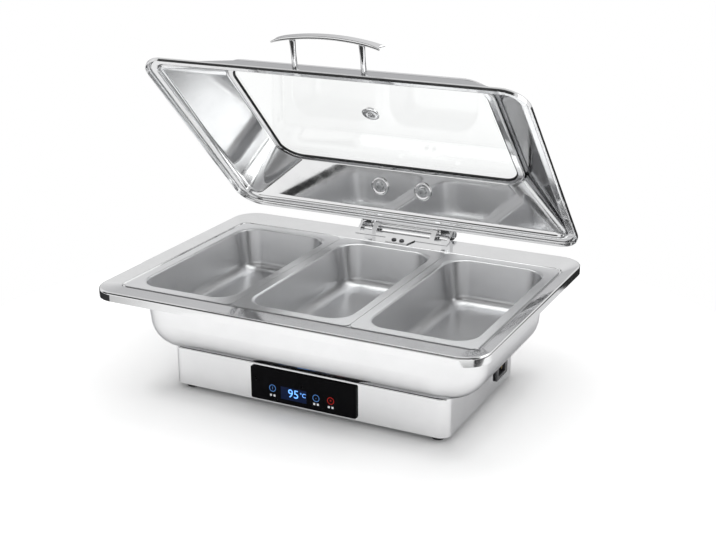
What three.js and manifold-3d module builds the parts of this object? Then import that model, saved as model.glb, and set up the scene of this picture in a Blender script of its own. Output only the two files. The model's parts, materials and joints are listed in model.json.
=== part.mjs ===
// An electric chafing dish with a hinged glass lid, standing open, in millimetres.
// +X is to the right, +Y to the rear and +Z up. The origin is the centre of the base plate's underside.
import * as THREE from "three";
import { mergeVertices } from "three/addons/utils/BufferGeometryUtils.js";
import Module from "manifold-3d";

const wasm = await Module();
wasm.setup();

// How fine the curves are, in facets.
const CORNER_STEPS = 5;
const BEND_STEPS = 4;
const ROUND_SIDES = 24;
const SMALL_SIDES = 12;
const LEAD_SIDES = 8;
const HEX_SIDES = 6;
const PAN_BEND_STEPS = 3;
const EDGE_STEPS = 2;

// Clearances and sheet thicknesses.
const SEAT_GAP = 0.3; // where two pieces touch
const SHAFT_GAP = 0.3; // around anything that turns
const OVERRUN = 5; // how far a cut reaches past its wall
const EMBED = 0.4; // how far joined shapes run into each other
const SHEET = 1; // polished body, base and lid sheet
const PAN_SHEET = 0.8; // pans

// Base box.
const BASE_LENGTH = 423;
const BASE_DEPTH = 249;
const BASE_HEIGHT = 55;
const BASE_CORNER = 15;
const BASE_TOP_FLANGE = 14;
const BASE_BOTTOM_FLANGE = 24;
const BOTTOM_PLATE = 1.5;
const FOOT_RADIUS = 10;
const FOOT_TIP_RADIUS = 8.6;
const FOOT_HEIGHT = 8;
const FOOT_EDGE_RADIUS = 1.2;
const FOOT_INSET_X = 19.5; // foot centre from the base's end
const FOOT_INSET_Y = 17.5; // foot centre from the base's face
const FOOT_RECESS_RADIUS = 5;
const FOOT_RECESS_DEPTH = 4;
const FOOT_BORE_RADIUS = 2.4;
const FOOT_SCREW_RADIUS = 2;
const FOOT_SCREW_HEAD_RADIUS = 4.2;
const FOOT_SCREW_HEAD = 2.4;
const FOOT_SCREW_REACH = 5;
const SLOT_LENGTH = 64;
const SLOT_WIDTH = 5;
const SLOT_PITCH = 15;
const SLOTS = 6;
const SLOT_FIELD_X = 95; // centre of each field of air slots
const STANDOFF_RADIUS = 3;
const STANDOFF_HEIGHT = 6;

// Body, the deep-drawn well with its rim.
const WELL_PLAY_X = 1.2; // round the water pan
const WELL_PLAY_Y = 1.9;
const WELL_BEND = 41; // inner radius between wall and floor
const WELL_RISE = 93; // floor to ledge, inside
const LEDGE_LENGTH = 534;
const LEDGE_DEPTH = 331;
const LEDGE_CORNER = 12;
const RIM_STEP_RISE = 2.2;
const RIM_STEP_RUN = 1.4;
const CROWN_LENGTH = 568;
const CROWN_DEPTH = 409;
const CROWN_CORNER = 33;
const CROWN_RISE = 7.7; // ledge to the top of the crown
const CROWN_RADIUS = 4;
const LIP_DROP = 8.5; // straight part of the rolled-down lip
const LEDGE_BEND = 2;

// Pans: one water pan, and three food pans of one third size in it.
const PANS = ["left", "middle", "right"];
const PAN_WIDTH = 175.7;
const PAN_GAP = 0.5; // from one food pan to the next
const PAN_PITCH = PAN_WIDTH + PAN_GAP;
const PAN_DEPTH = 325;
const PAN_CORNER = 9;
const PAN_OPENING_INSET_X = 13.6;
const PAN_OPENING_INSET_Y = 16.2;
const PAN_OPENING_CORNER = 33;
const PAN_EDGE_BEND = 3; // between flange and wall
const PAN_FALL = 65;
const PAN_TAPER = 7; // how far each wall leans in by the floor
const PAN_FLOOR_BEND = 16;
const WATER_PLAY_X = 0.8; // round the food pans
const WATER_PLAY_Y = 3.2;
const WATER_FALL = 88;
const WATER_TAPER = 4;
const WATER_FLOOR_BEND = 34;
const LOW_CORNER_PLAY = 1; // in the corners, deep in the well

// Lid, in its closed place: its flange's lower edge lies in the plane at LID_SEAT over the crown.
const LID_LENGTH = 566;
const LID_DEPTH = 384;
const LID_CORNER = 36;
const LID_SEAT = 0.5;
const LID_OPEN_DEG = 45.8; // how far the lid stands open at rest
const LID_LIP = 5;
const LID_BEAD_RUN = 3; // lip to the crown of the outer bead
const LID_BEAD_RISE = 2.8;
const LID_BEAD_SHARE = 0.75; // of that rise, halfway along the run
const LID_BEAD_BACK = 3.5;
const LID_FLANGE = 8.5; // width of the flat between the beads
const LID_FLANGE_Z = 6.2;
const LID_STEP_RUN = 2.5;
const LID_STEP_RISE = 5.8;
const SHOULDER_LENGTH = 413; // top end of the sloping walls
const SHOULDER_DEPTH = 255;
const SHOULDER_CORNER = 41;
const SHOULDER_Z = 57;
const CREST_RUN = 1.9; // shoulder to the crest round the glass
const CREST_RISE = 3.6;
const RECESS_DROP = 6; // crest to the ledge that carries the gasket
const WINDOW_LENGTH = 390; // clear opening in the steel
const WINDOW_DEPTH = 232;
const WINDOW_CORNER = 30;
const WALL_CREASE_CORNER = 19; // corner radius low on the sloping walls
const GLASS = 4;
const GASKET_WALL = 1.6;
const GASKET_LIP = 1.2;
const GASKET_OVERHANG = 3; // lower lip inside the steel ledge
const GASKET_COVER = 4.5; // upper lip over the glass

// Steam vent in the glass.
const VENT_Y = -24; // from the lid's middle
const VENT_BORE_RADIUS = 3;
const VENT_BARREL_RADIUS = 6;
const VENT_FLANGE_RADIUS = 13;
const VENT_FLANGE = 2;
const VENT_DISH = 1.1;
const VENT_CAP_RADIUS = 10;
const VENT_CAP = 2.6;
const VENT_CAP_DOME = 1;

// Handle on the lid's front wall.
const HANDLE_WALL_SHARE = 0.22;
const HANDLE_POST_PITCH = 102;
const HANDLE_LEAN_DEG = 11; // the posts lean this far forward of square to the wall
const POST_LENGTH = 44;
const POST_RADIUS = 4.1;
const POST_WAIST_RADIUS = 3.4;
const POST_FOOT_RADIUS = 6.5;
const POST_FOOT = 3;
const POST_HOLE_RADIUS = 2.3;
const POST_HOLE_DEPTH = 6;
const BAR_LENGTH = 161;
const BAR_RISE = 9;
const BAR_WIDTH = 12;
const BAR_END_WIDTH = 17;
const BAR_THICKNESS = 4.6;
const BAR_END_THICKNESS = 2.6;
const BAR_NOTCH = 6;
const BAR_NOTCH_MOUTH = 5.7;
const BAR_EDGE_SHARE = 0.3; // rounding of the bar's section, of its thickness
const BAR_FLARE_SHARE = 0.14; // outer part of each half that flares
const BAR_STEPS = 20;
const HANDLE_SCREW_RADIUS = 2;
const HANDLE_SCREW_HEAD_RADIUS = 5;
const HANDLE_SCREW_HEAD = 2.8;
const HANDLE_SCREW_REACH = 5;

// Hinge behind the rear rim.
const PIVOT_BEHIND = 10; // pivot behind the crown's line
const PIVOT_ABOVE = 6.5; // pivot above the crown's top
const SHAFT_RADIUS = 3;
const SHAFT_HEAD_RADIUS = 5;
const SHAFT_HEAD = 2.6;
const BARREL_RADIUS = 6.3;
const BARREL_LENGTH = 117;
const BARREL_COLLAR_RADIUS = 7.2;
const BARREL_COLLAR = 4;
const EAR_WIDTH = 8; // the two inner ears that hold the barrel
const EAR_INSET = 5.5; // inner ear from the barrel's end
const EAR_RADIUS = 9;
const KNUCKLE_WIDTH = 14;
const KNUCKLE_RADIUS = 7.5;
const OUTER_EAR_WIDTH = 4;
const HINGE_PLATE = 1.5;
const HINGE_PLATE_FRONT = 7.5; // plate's front edge, ahead of the strip's middle
const HINGE_PLATE_BACK = 6.5;
const HINGE_PLATE_Y = 11.5; // strip's middle ahead of the crown's line
const EAR_FOOT = 6;
const EAR_FOOT_ROUND = 0.5;
const TAB_REACH = 23;
const TAB_WIDTH = 56;
const TAB_END_WIDTH = 36;
const HINGE_SCREW_PITCH = 13;
const HINGE_SCREW_Y = -15.5; // from the strip's middle
const HINGE_SCREW_RADIUS = 1.9;
const HINGE_SCREW_HEAD_RADIUS = 3.8;
const HINGE_SCREW_HEAD = 2.2;
const HINGE_SCREW_REACH = 7;
const BRACKET_WALL_SHARE = 0.5;
const BRACKET_PLATE = 2;
const BRACKET_SLOPE_LENGTH = 42;
const ARM_ELBOW_Y = -24.5; // from the pivot, lid closed
const ARM_ELBOW_Z = 11;
const ARM_ELBOW_RADIUS = 5;
const ARM_END_INSET = 2.2; // arm's end from the plate's lower edge
const ARM_END_RADIUS = 4;
const BOLT_PITCH = 71;
const BOLT_OFFSET = -4.5; // along the wall, towards the glass
const BOLT_RADIUS = 3;
const BOLT_HEAD_RADIUS = 6.5;
const BOLT_HEAD = 3.6;
const BOLT_SOCKET_RADIUS = 2.6;
const BOLT_SOCKET = 2;
const BOLT_REACH = 4;
const WASHER_RADIUS = 14;
const WASHER = 2.4;
const WASHER_RELIEF = 0.8;

// Touch panel in the base's front.
const GLASS_PANEL_LENGTH = 163;
const GLASS_PANEL_HEIGHT = 48;
const GLASS_PANEL = 3;
const GLASS_PANEL_CORNER = 2.5;
const PANEL_CUT_MARGIN = 6;
const TRAY_WALL = 1.6;
const TRAY_DEPTH = 20;
const TRAY_MARGIN = 2;
const BOARD = 1.6;
const BOARD_BACK = 9; // control board's face behind the case wall
const DISPLAY_LENGTH = 42;
const DISPLAY_HEIGHT = 21;
const DISPLAY_X = -14;
const DISPLAY_Z = 20;
const KEY_PLACES = { power: [-47, 24.5], down: [20, 22.5], up: [42.5, 22.5] };
const KEY_RADIUS = 5;
const KEY_CORE_RADIUS = 3;
const KEY_FLANGE = 1.2;

// Power inlet in the right side.
const INLET_REAR = 55.5; // inlet's middle from the base's rear face
const INLET_Z = 27;
const INLET_FLANGE_LENGTH = 44;
const INLET_FLANGE_HEIGHT = 28;
const INLET_FLANGE = 2.5;
const INLET_FLANGE_CORNER = 3;
const INLET_BODY_LENGTH = 29;
const INLET_BODY_HEIGHT = 21.5;
const INLET_BODY_DEPTH = 22;
const INLET_SOCKET_LENGTH = 24.5;
const INLET_SOCKET_HEIGHT = 17;
const INLET_SOCKET_DEPTH = 17;
const INLET_CHAMFER = 5;
const PIN_LENGTH = 14;
const PIN_WIDTH = 4;
const PIN_THICKNESS = 2;
const PIN_PITCH = 14;
const PIN_EARTH_RISE = 2.5;
const PIN_ROW_DROP = 2.5;
const PIN_TAB = 8;

// Heater under the well's floor.
const HEATER_LENGTH = 250;
const HEATER_DEPTH = 150;
const HEATER_CORNER = 18;
const HEATER_PLATE = 2.8;
const STUD_RADIUS = 2.5;
const STUD_PITCH = 120;
const STUD_DROP = 18.5;
const STUD_GAP = 0.5;
const ELEMENT_RADIUS = 3.6;
const ELEMENT_LENGTH = 196;
const ELEMENT_DEPTH = 104;
const ELEMENT_BEND = 26;
const ELEMENT_GAP = 34;
const ELEMENT_TAIL = 26;
const ELEMENT_STEPS = 44;
const CLAMP_LENGTH = 212;
const CLAMP_WIDTH = 18;
const CLAMP_THICKNESS = 2.5;
const CLAMP_CORNER = 4.5;
const NUT_RADIUS = 5;
const NUT_HEIGHT = 4;
const CUTOUT_RADIUS = 8.5;
const CUTOUT_CAP_RADIUS = 7;
const CUTOUT_HEIGHT = 7;
const CUTOUT_CAP = 3;
const CUTOUT_Y = -30;
const PROBE_X = 36;
const PROBE_RADIUS = 3.5;
const PROBE_HEIGHT = 11;

// Power board and what is on it.
const POWER_BOARD_END = 56; // board's edge from the base's right side
const POWER_BOARD_REAR = 30.5; // board's edge from the base's rear face
const POWER_BOARD_LENGTH = 92;
const POWER_BOARD_DEPTH = 70;
const STANDOFF_INSET = 6;
const RELAY = [20, 16, 18];
const RELAY_PLACE = [-28, -12];
const TRANSFORMER = [34, 30, 22];
const TRANSFORMER_CORE = [42, 16, 26];
const TRANSFORMER_PLACE = [10, 12];
const LEAD_RADIUS = 2.4;
const LEAD_BEND = 6;
const LEAD_RUN = 12; // straight out of what it starts from
const LEAD_ON_BOARD = 6;
const LEAD_STEPS = 12;
const RIBBON_WIDTH = 12;
const RIBBON_THICKNESS = 1.2;

// Heights and places that follow from the sizes above.
const WELL_FLOOR_Z = BASE_HEIGHT + SEAT_GAP + SHEET;
const LEDGE_Z = WELL_FLOOR_Z + WELL_RISE;
const CROWN_Z = LEDGE_Z + CROWN_RISE;
const LID_Z = CROWN_Z + LID_SEAT;
const PIVOT_Y = CROWN_DEPTH / 2 + PIVOT_BEHIND;
const PIVOT_Z = CROWN_Z + PIVOT_ABOVE;
const WATER_FLANGE_Z = LEDGE_Z + SEAT_GAP + PAN_SHEET;
const PAN_FLANGE_Z = WATER_FLANGE_Z + SEAT_GAP + PAN_SHEET;

// Finishes.
const finish = (color, roughness, metalness) => () =>
  new THREE.MeshStandardMaterial({ color, roughness, metalness });
const POLISHED = finish(0xe6e7e9, 0.08, 1);
const SATIN = finish(0xb9bcc0, 0.35, 1);
const PLAIN_STEEL = finish(0x9a9da1, 0.45, 1);
const DARK_STEEL = finish(0x2a2b2d, 0.4, 1);
const ALUMINIUM = finish(0xb5b7b9, 0.55, 1);
const BRASS = finish(0xc9a553, 0.35, 1);
const RUBBER = finish(0x141414, 0.8, 0);
const BLACK_PLASTIC = finish(0x1a1a1b, 0.5, 0);
const WHITE_PLASTIC = finish(0xe2e0da, 0.5, 0);
const BLACK_GLASS = finish(0x08090b, 0.06, 0);
const BOARD_GREEN = finish(0x1d5c37, 0.5, 0);
const CLEAR_GLASS = () =>
  new THREE.MeshStandardMaterial({ color: 0xeef2f2, roughness: 0.03, transparent: true, opacity: 0.3 });

// A closed geometry as a solid that can be joined and cut.
function solid(geometry) {
  const bare = new THREE.BufferGeometry();
  bare.setAttribute("position", geometry.getAttribute("position").clone());
  if (geometry.index) bare.setIndex(geometry.index.clone());
  const merged = mergeVertices(bare);
  const made = new wasm.Manifold(
    new wasm.Mesh({
      numProp: 3,
      vertProperties: merged.attributes.position.array,
      triVerts: new Uint32Array(merged.index.array),
    }),
  );
  if (made.volume() >= 0) return made;
  const turned = new Uint32Array(merged.index.array);
  for (let i = 0; i < turned.length; i += 3) [turned[i + 1], turned[i + 2]] = [turned[i + 2], turned[i + 1]];
  return new wasm.Manifold(
    new wasm.Mesh({ numProp: 3, vertProperties: merged.attributes.position.array, triVerts: turned }),
  );
}

// A solid's surface as a geometry.
function surface(made) {
  const mesh = made.getMesh();
  const positions = new Float32Array(mesh.numVert * 3);
  for (let i = 0; i < mesh.numVert; i++)
    positions.set(mesh.vertProperties.subarray(i * mesh.numProp, i * mesh.numProp + 3), i * 3);
  return new THREE.BufferGeometry()
    .setAttribute("position", new THREE.BufferAttribute(positions, 3))
    .setIndex(new THREE.BufferAttribute(new Uint32Array(mesh.triVerts), 1));
}

const join = (...geometries) => surface(geometries.map(solid).reduce((a, b) => a.add(b)));
const cut = (geometry, ...tools) => surface(tools.map(solid).reduce((a, b) => a.subtract(b), solid(geometry)));
const placed = (geometry, x, y, z) => geometry.clone().translate(x, y, z);

// A rounded rectangle's points in the plane at z, anticlockwise from above.
function ring({ length, depth, corner, z = 0, x = 0, y = 0 }) {
  const radius = Math.min(corner, length / 2, depth / 2);
  const points = [];
  for (const [sx, sy, quarter] of [[1, 1, 0], [-1, 1, 1], [-1, -1, 2], [1, -1, 3]])
    for (let k = 0; k <= CORNER_STEPS; k++) {
      const angle = ((quarter + k / CORNER_STEPS) * Math.PI) / 2;
      points.push([
        x + sx * (length / 2 - radius) + radius * Math.cos(angle),
        y + sy * (depth / 2 - radius) + radius * Math.sin(angle),
        z,
      ]);
    }
  return points;
}

// A shape a margin larger all round, and higher.
const grown = (shape, by, up = 0) => ({
  ...shape,
  length: shape.length + 2 * by,
  depth: shape.depth + 2 * by,
  corner: Math.max(shape.corner + by, SEAT_GAP),
  z: (shape.z ?? 0) + up,
});

// The outer of two nested shapes, with the largest corners that keep the gap in the corners.
function around(inner, marginX, marginY, gap) {
  const sum = marginX + marginY - gap;
  const extra = sum + Math.sqrt(sum * sum - marginX * marginX - marginY * marginY + gap * gap);
  return {
    ...inner,
    length: inner.length + 2 * marginX,
    depth: inner.depth + 2 * marginY,
    corner: inner.corner + extra,
  };
}

// A surface through a stack of like rings: closed on itself, or capped at its first and last ring.
function loft(rings, closed) {
  const count = rings[0].length;
  const positions = rings.flat(2);
  const index = [];
  const bands = closed ? rings.length : rings.length - 1;
  for (let i = 0; i < bands; i++)
    for (let j = 0; j < count; j++) {
      const a = i * count + j;
      const b = i * count + ((j + 1) % count);
      const c = ((i + 1) % rings.length) * count + j;
      const d = ((i + 1) % rings.length) * count + ((j + 1) % count);
      index.push(a, b, d, a, d, c);
    }
  if (!closed)
    for (const [start, flip] of [[0, true], [(rings.length - 1) * count, false]]) {
      const centre = positions.length / 3;
      for (const axis of [0, 1, 2]) {
        let sum = 0;
        for (let j = 0; j < count; j++) sum += positions[(start + j) * 3 + axis];
        positions.push(sum / count);
      }
      for (let j = 0; j < count; j++) {
        const a = start + j;
        const b = start + ((j + 1) % count);
        if (flip) index.push(centre, b, a);
        else index.push(centre, a, b);
      }
    }
  const geometry = new THREE.BufferGeometry();
  geometry.setAttribute("position", new THREE.Float32BufferAttribute(positions, 3));
  geometry.setIndex(index);
  return surface(solid(geometry));
}

// Sheet metal along a profile of rings, given on one face: the other face lies a thickness to the
// profile's right, and to its left where the thickness is negative.
function sheetRings(profile, thickness) {
  const normal = (a, b) => {
    const run = (b.depth - a.depth) / 2;
    const rise = b.z - a.z;
    const reach = Math.hypot(run, rise);
    return [rise / reach, -run / reach];
  };
  const other = profile.map((point, i) => {
    const before = i > 0 ? normal(profile[i - 1], point) : normal(point, profile[i + 1]);
    const after = i < profile.length - 1 ? normal(point, profile[i + 1]) : before;
    const sum = [before[0] + after[0], before[1] + after[1]];
    const size = (sum[0] * sum[0] + sum[1] * sum[1]) / 2;
    return grown(point, (thickness * sum[0]) / size, (thickness * sum[1]) / size);
  });
  return [...profile, ...other.reverse()].map(ring);
}

// The rings of a bend: a quarter arc of the radius from one ring, going out and up (or as signs say).
function bend(from, radius, outward, upward, flatFirst, steps = BEND_STEPS) {
  const rings = [];
  for (let k = 1; k <= steps; k++) {
    const angle = ((k / steps) * Math.PI) / 2;
    const early = Math.sin(angle) * radius;
    const late = (1 - Math.cos(angle)) * radius;
    rings.push(grown(from, outward * (flatFirst ? early : late), upward * (flatFirst ? late : early)));
  }
  return rings;
}

// A turned piece about Z, from a profile of [radius, z] points that closes on the axis or on itself.
function turned(profile, sides = SMALL_SIDES) {
  const points = profile.map(([radius, z]) => new THREE.Vector2(radius, z));
  return surface(solid(new THREE.LatheGeometry(points, sides).rotateX(Math.PI / 2)));
}

const rod = (radius, bottom, top, sides = SMALL_SIDES) =>
  turned([[0, bottom], [radius, bottom], [radius, top], [0, top]], sides);

// A block between two corners.
function block([x0, y0, z0], [x1, y1, z1]) {
  const geometry = new THREE.BoxGeometry(x1 - x0, y1 - y0, z1 - z0);
  return geometry.translate((x0 + x1) / 2, (y0 + y1) / 2, (z0 + z1) / 2);
}

// A rounded plate, centred, from z = 0 up, with holes given as outlines.
function plate(length, depth, corner, thickness, holes = []) {
  const shape = new THREE.Shape(ring({ length, depth, corner, z: 0 }).map(([x, y]) => new THREE.Vector2(x, y)));
  shape.holes = holes.map((hole) => new THREE.Path(hole.map(([x, y]) => new THREE.Vector2(x, y))));
  return new THREE.ExtrudeGeometry(shape, { depth: thickness, bevelEnabled: false });
}

const circle = (x, y, radius, sides = SMALL_SIDES) =>
  Array.from({ length: sides }, (_, k) => {
    const angle = (2 * Math.PI * k) / sides;
    return [x + radius * Math.cos(angle), y + radius * Math.sin(angle)];
  });

// The outline round a set of circles [y, z, radius], as a belt would lie.
function belt(circles) {
  const points = circles.flatMap(([y, z, radius]) => circle(y, z, radius, ROUND_SIDES));
  points.sort((a, b) => a[0] - b[0] || a[1] - b[1]);
  const cross = (o, a, b) => (a[0] - o[0]) * (b[1] - o[1]) - (a[1] - o[1]) * (b[0] - o[0]);
  const half = (list) => {
    const chain = [];
    for (const point of list) {
      while (chain.length > 1 && cross(chain.at(-2), chain.at(-1), point) <= 0) chain.pop();
      chain.push(point);
    }
    return chain.slice(0, -1);
  };
  return [...half(points), ...half([...points].reverse())];
}

// Turns what was drawn flat to face right: its X and Y become Y and Z, and its height runs along X.
const facingRight = new THREE.Matrix4().makeBasis(
  new THREE.Vector3(0, 1, 0),
  new THREE.Vector3(0, 0, 1),
  new THREE.Vector3(1, 0, 0),
);

// An outline of [y, z] points made into a web of the width along X, centred at x.
function web(outline, width, x) {
  const shape = new THREE.Shape(outline.map(([y, z]) => new THREE.Vector2(y, z)));
  const geometry = new THREE.ExtrudeGeometry(shape, { depth: width, bevelEnabled: false });
  return geometry.applyMatrix4(facingRight).translate(x - width / 2, 0, 0);
}

const alongX = (geometry) => geometry.clone().rotateY(Math.PI / 2);

// A round tube, or a flat one, along a path of points with rounded turns.
function swept(path, outline, steps) {
  const shape = new THREE.Shape(outline.map(([x, y]) => new THREE.Vector2(x, y)));
  const geometry = new THREE.ExtrudeGeometry(shape, { steps, extrudePath: path, bevelEnabled: false });
  return surface(solid(geometry));
}

// Straight runs between the points, joined by bends of the radius.
function route(points, radius) {
  const path = new THREE.CurvePath();
  const corners = points.map((p) => new THREE.Vector3(...p));
  let from = corners[0];
  for (let i = 1; i < corners.length - 1; i++) {
    const corner = corners[i];
    const back = from.clone().sub(corner);
    const ahead = corners[i + 1].clone().sub(corner);
    const reach = Math.min(radius, back.length() / 2, ahead.length() / 2);
    const enter = corner.clone().add(back.setLength(reach));
    const leave = corner.clone().add(ahead.setLength(reach));
    path.add(new THREE.LineCurve3(from, enter));
    path.add(new THREE.QuadraticBezierCurve3(enter, corner, leave));
    from = leave;
  }
  path.add(new THREE.LineCurve3(from, corners.at(-1)));
  return path;
}

function node(parent, name, geometry, material) {
  const mesh = new THREE.Mesh(geometry, material());
  mesh.name = name;
  parent.add(mesh);
  return mesh;
}

const dish = new THREE.Group();

// Base box: an open steel case with a flange at the top and one near the bottom.
const footPlaces = [-1, 1].flatMap((sx) =>
  [-1, 1].map((sy) => ({
    name: `${sy < 0 ? "front" : "rear"}_${sx < 0 ? "left" : "right"}`,
    x: sx * (BASE_LENGTH / 2 - FOOT_INSET_X),
    y: sy * (BASE_DEPTH / 2 - FOOT_INSET_Y),
  })),
);
const BOTTOM_FLANGE_Z = BOTTOM_PLATE + SEAT_GAP;
const FRONT_Y = -BASE_DEPTH / 2;
const REAR_Y = BASE_DEPTH / 2;
const SIDE_X = BASE_LENGTH / 2;
const PANEL_Z = BASE_HEIGHT / 2;
const INLET_Y = REAR_Y - INLET_REAR;
const POWER_BOARD_X = SIDE_X - POWER_BOARD_END - POWER_BOARD_LENGTH / 2;
const POWER_BOARD_Y = REAR_Y - POWER_BOARD_REAR - POWER_BOARD_DEPTH / 2;

function baseShell() {
  const outer = { length: BASE_LENGTH, depth: BASE_DEPTH, corner: BASE_CORNER };
  const flangeTop = BOTTOM_FLANGE_Z + SHEET;
  const shell = loft(
    [
      outer,
      grown(outer, 0, BASE_HEIGHT),
      grown(outer, -BASE_TOP_FLANGE, BASE_HEIGHT),
      grown(outer, -BASE_TOP_FLANGE, BASE_HEIGHT - SHEET),
      grown(outer, -SHEET, BASE_HEIGHT - SHEET),
      grown(outer, -SHEET, flangeTop),
      grown(outer, -BASE_BOTTOM_FLANGE, flangeTop),
      grown(outer, -BASE_BOTTOM_FLANGE, BOTTOM_FLANGE_Z),
      grown(outer, -SHEET, BOTTOM_FLANGE_Z),
      grown(outer, -SHEET, 0),
    ].map(ring),
    true,
  );
  const panelCutLength = GLASS_PANEL_LENGTH - 2 * PANEL_CUT_MARGIN;
  const panelCutHeight = GLASS_PANEL_HEIGHT - 2 * PANEL_CUT_MARGIN;
  const panelCut = block(
    [-panelCutLength / 2, FRONT_Y - OVERRUN, PANEL_Z - panelCutHeight / 2],
    [panelCutLength / 2, FRONT_Y + OVERRUN, PANEL_Z + panelCutHeight / 2],
  );
  const inletCutLength = INLET_BODY_LENGTH + 2 * SEAT_GAP;
  const inletCutHeight = INLET_BODY_HEIGHT + 2 * SEAT_GAP;
  const inletCut = block(
    [SIDE_X - OVERRUN, INLET_Y - inletCutLength / 2, INLET_Z - inletCutHeight / 2],
    [SIDE_X + OVERRUN, INLET_Y + inletCutLength / 2, INLET_Z + inletCutHeight / 2],
  );
  const screwHole = rod(FOOT_SCREW_RADIUS + SEAT_GAP, 0, flangeTop + OVERRUN);
  const screwHoles = footPlaces.map(({ x, y }) => placed(screwHole, x, y, 0));
  return cut(shell, panelCut, inletCut, ...screwHoles);
}
node(dish, "base_shell", baseShell(), POLISHED);

// Bottom plate with two fields of air slots and four standoffs for the power board.
function bottomPlate() {
  const slot = (x, y) =>
    ring({ length: SLOT_LENGTH, depth: SLOT_WIDTH, corner: SLOT_WIDTH / 2, z: 0, x, y });
  const slots = [-1, 1].flatMap((side) =>
    Array.from({ length: SLOTS }, (_, k) => slot(side * SLOT_FIELD_X, (k - (SLOTS - 1) / 2) * SLOT_PITCH)),
  );
  const holes = footPlaces.map(({ x, y }) => circle(x, y, FOOT_SCREW_RADIUS + SEAT_GAP));
  const gap = 2 * (SHEET + SEAT_GAP);
  const openings = [...slots, ...holes];
  const flat = plate(BASE_LENGTH - gap, BASE_DEPTH - gap, BASE_CORNER - gap / 2, BOTTOM_PLATE, openings);
  const standoff = rod(STANDOFF_RADIUS, BOTTOM_PLATE - EMBED, BOTTOM_PLATE + STANDOFF_HEIGHT);
  const standoffs = [-1, 1].flatMap((sx) =>
    [-1, 1].map((sy) =>
      placed(
        standoff,
        POWER_BOARD_X + sx * (POWER_BOARD_LENGTH / 2 - STANDOFF_INSET),
        POWER_BOARD_Y + sy * (POWER_BOARD_DEPTH / 2 - STANDOFF_INSET),
        0,
      ),
    ),
  );
  return join(flat, ...standoffs);
}
node(dish, "base_bottom_plate", bottomPlate(), PLAIN_STEEL);

// Rubber feet, each with its screw up through the plate and the case's lower flange.
const foot = turned([
  [FOOT_BORE_RADIUS, 0],
  [FOOT_BORE_RADIUS, FOOT_RECESS_DEPTH - FOOT_HEIGHT],
  [FOOT_RECESS_RADIUS, FOOT_RECESS_DEPTH - FOOT_HEIGHT],
  [FOOT_RECESS_RADIUS, -FOOT_HEIGHT],
  [FOOT_TIP_RADIUS - FOOT_EDGE_RADIUS, -FOOT_HEIGHT],
  [FOOT_TIP_RADIUS, FOOT_EDGE_RADIUS - FOOT_HEIGHT],
  [FOOT_RADIUS, 0],
  [FOOT_BORE_RADIUS, 0],
], ROUND_SIDES);
const footScrewSeat = FOOT_RECESS_DEPTH - FOOT_HEIGHT - 2 * SEAT_GAP;
const footScrew = turned([
  [0, footScrewSeat - FOOT_SCREW_HEAD],
  [FOOT_SCREW_HEAD_RADIUS, footScrewSeat - FOOT_SCREW_HEAD],
  [FOOT_SCREW_HEAD_RADIUS, footScrewSeat],
  [FOOT_SCREW_RADIUS, footScrewSeat],
  [FOOT_SCREW_RADIUS, BOTTOM_FLANGE_Z + FOOT_SCREW_REACH],
  [0, BOTTOM_FLANGE_Z + FOOT_SCREW_REACH],
]);
for (const { name, x, y } of footPlaces) {
  node(dish, `foot_${name}`, foot, RUBBER).position.set(x, y, -SEAT_GAP);
  node(dish, `foot_screw_${name}`, footScrew, PLAIN_STEEL).position.set(x, y, 0);
}

// Pans: the water pan nests round the three food pans, and the body's well round the water pan.
const PAN_SPREAD = ((PANS.length - 1) / 2) * PAN_PITCH;
const panFlange = { length: PAN_WIDTH, depth: PAN_DEPTH, corner: PAN_CORNER };
const panOpening = {
  length: PAN_WIDTH - 2 * PAN_OPENING_INSET_X,
  depth: PAN_DEPTH - 2 * PAN_OPENING_INSET_Y,
  corner: PAN_OPENING_CORNER,
};
const panLow = grown(panOpening, -PAN_TAPER);
const threePans = (shape) => ({ ...shape, length: shape.length + 2 * PAN_SPREAD });
const waterFlange = threePans(panFlange);
const waterOpening = around(threePans(grown(panOpening, PAN_SHEET)), WATER_PLAY_X, WATER_PLAY_Y, SEAT_GAP);
const lowMargin = PAN_TAPER - WATER_TAPER;
const waterLow = around(
  threePans(grown(panLow, PAN_SHEET)),
  WATER_PLAY_X + lowMargin,
  WATER_PLAY_Y + lowMargin,
  LOW_CORNER_PLAY / 2,
);
const wellTop = around(grown(waterOpening, PAN_SHEET), WELL_PLAY_X, WELL_PLAY_Y, SEAT_GAP);
const wellLow = around(
  grown(waterLow, PAN_SHEET),
  WELL_PLAY_X + WATER_TAPER,
  WELL_PLAY_Y + WATER_TAPER,
  LOW_CORNER_PLAY,
);

// A pan: floor, floor bend, leaning walls, edge bend and a flat flange.
function pan({ flange, opening, low, edge, floorBend, fall, top }) {
  const floor = grown({ ...low, z: top - fall }, -floorBend);
  const foldStart = { ...opening, z: top - edge };
  const profile = [
    floor,
    ...bend(floor, floorBend, 1, 1, true, PAN_BEND_STEPS),
    foldStart,
    ...bend(foldStart, edge, 1, 1, false, EDGE_STEPS),
    { ...flange, z: top },
  ];
  return loft(sheetRings(profile, PAN_SHEET), false);
}
const foodPan = pan({
  flange: panFlange,
  opening: panOpening,
  low: panLow,
  edge: PAN_EDGE_BEND,
  floorBend: PAN_FLOOR_BEND,
  fall: PAN_FALL,
  top: PAN_FLANGE_Z,
});
PANS.forEach((side, i) => {
  node(dish, `food_pan_${side}`, foodPan, SATIN).position.set(i * PAN_PITCH - PAN_SPREAD, 0, 0);
});
const waterPan = pan({
  flange: waterFlange,
  opening: waterOpening,
  low: waterLow,
  edge: PAN_EDGE_BEND - PAN_SHEET - SEAT_GAP,
  floorBend: WATER_FLOOR_BEND,
  fall: WATER_FALL,
  top: WATER_FLANGE_Z,
});
node(dish, "water_pan", waterPan, SATIN);

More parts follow.
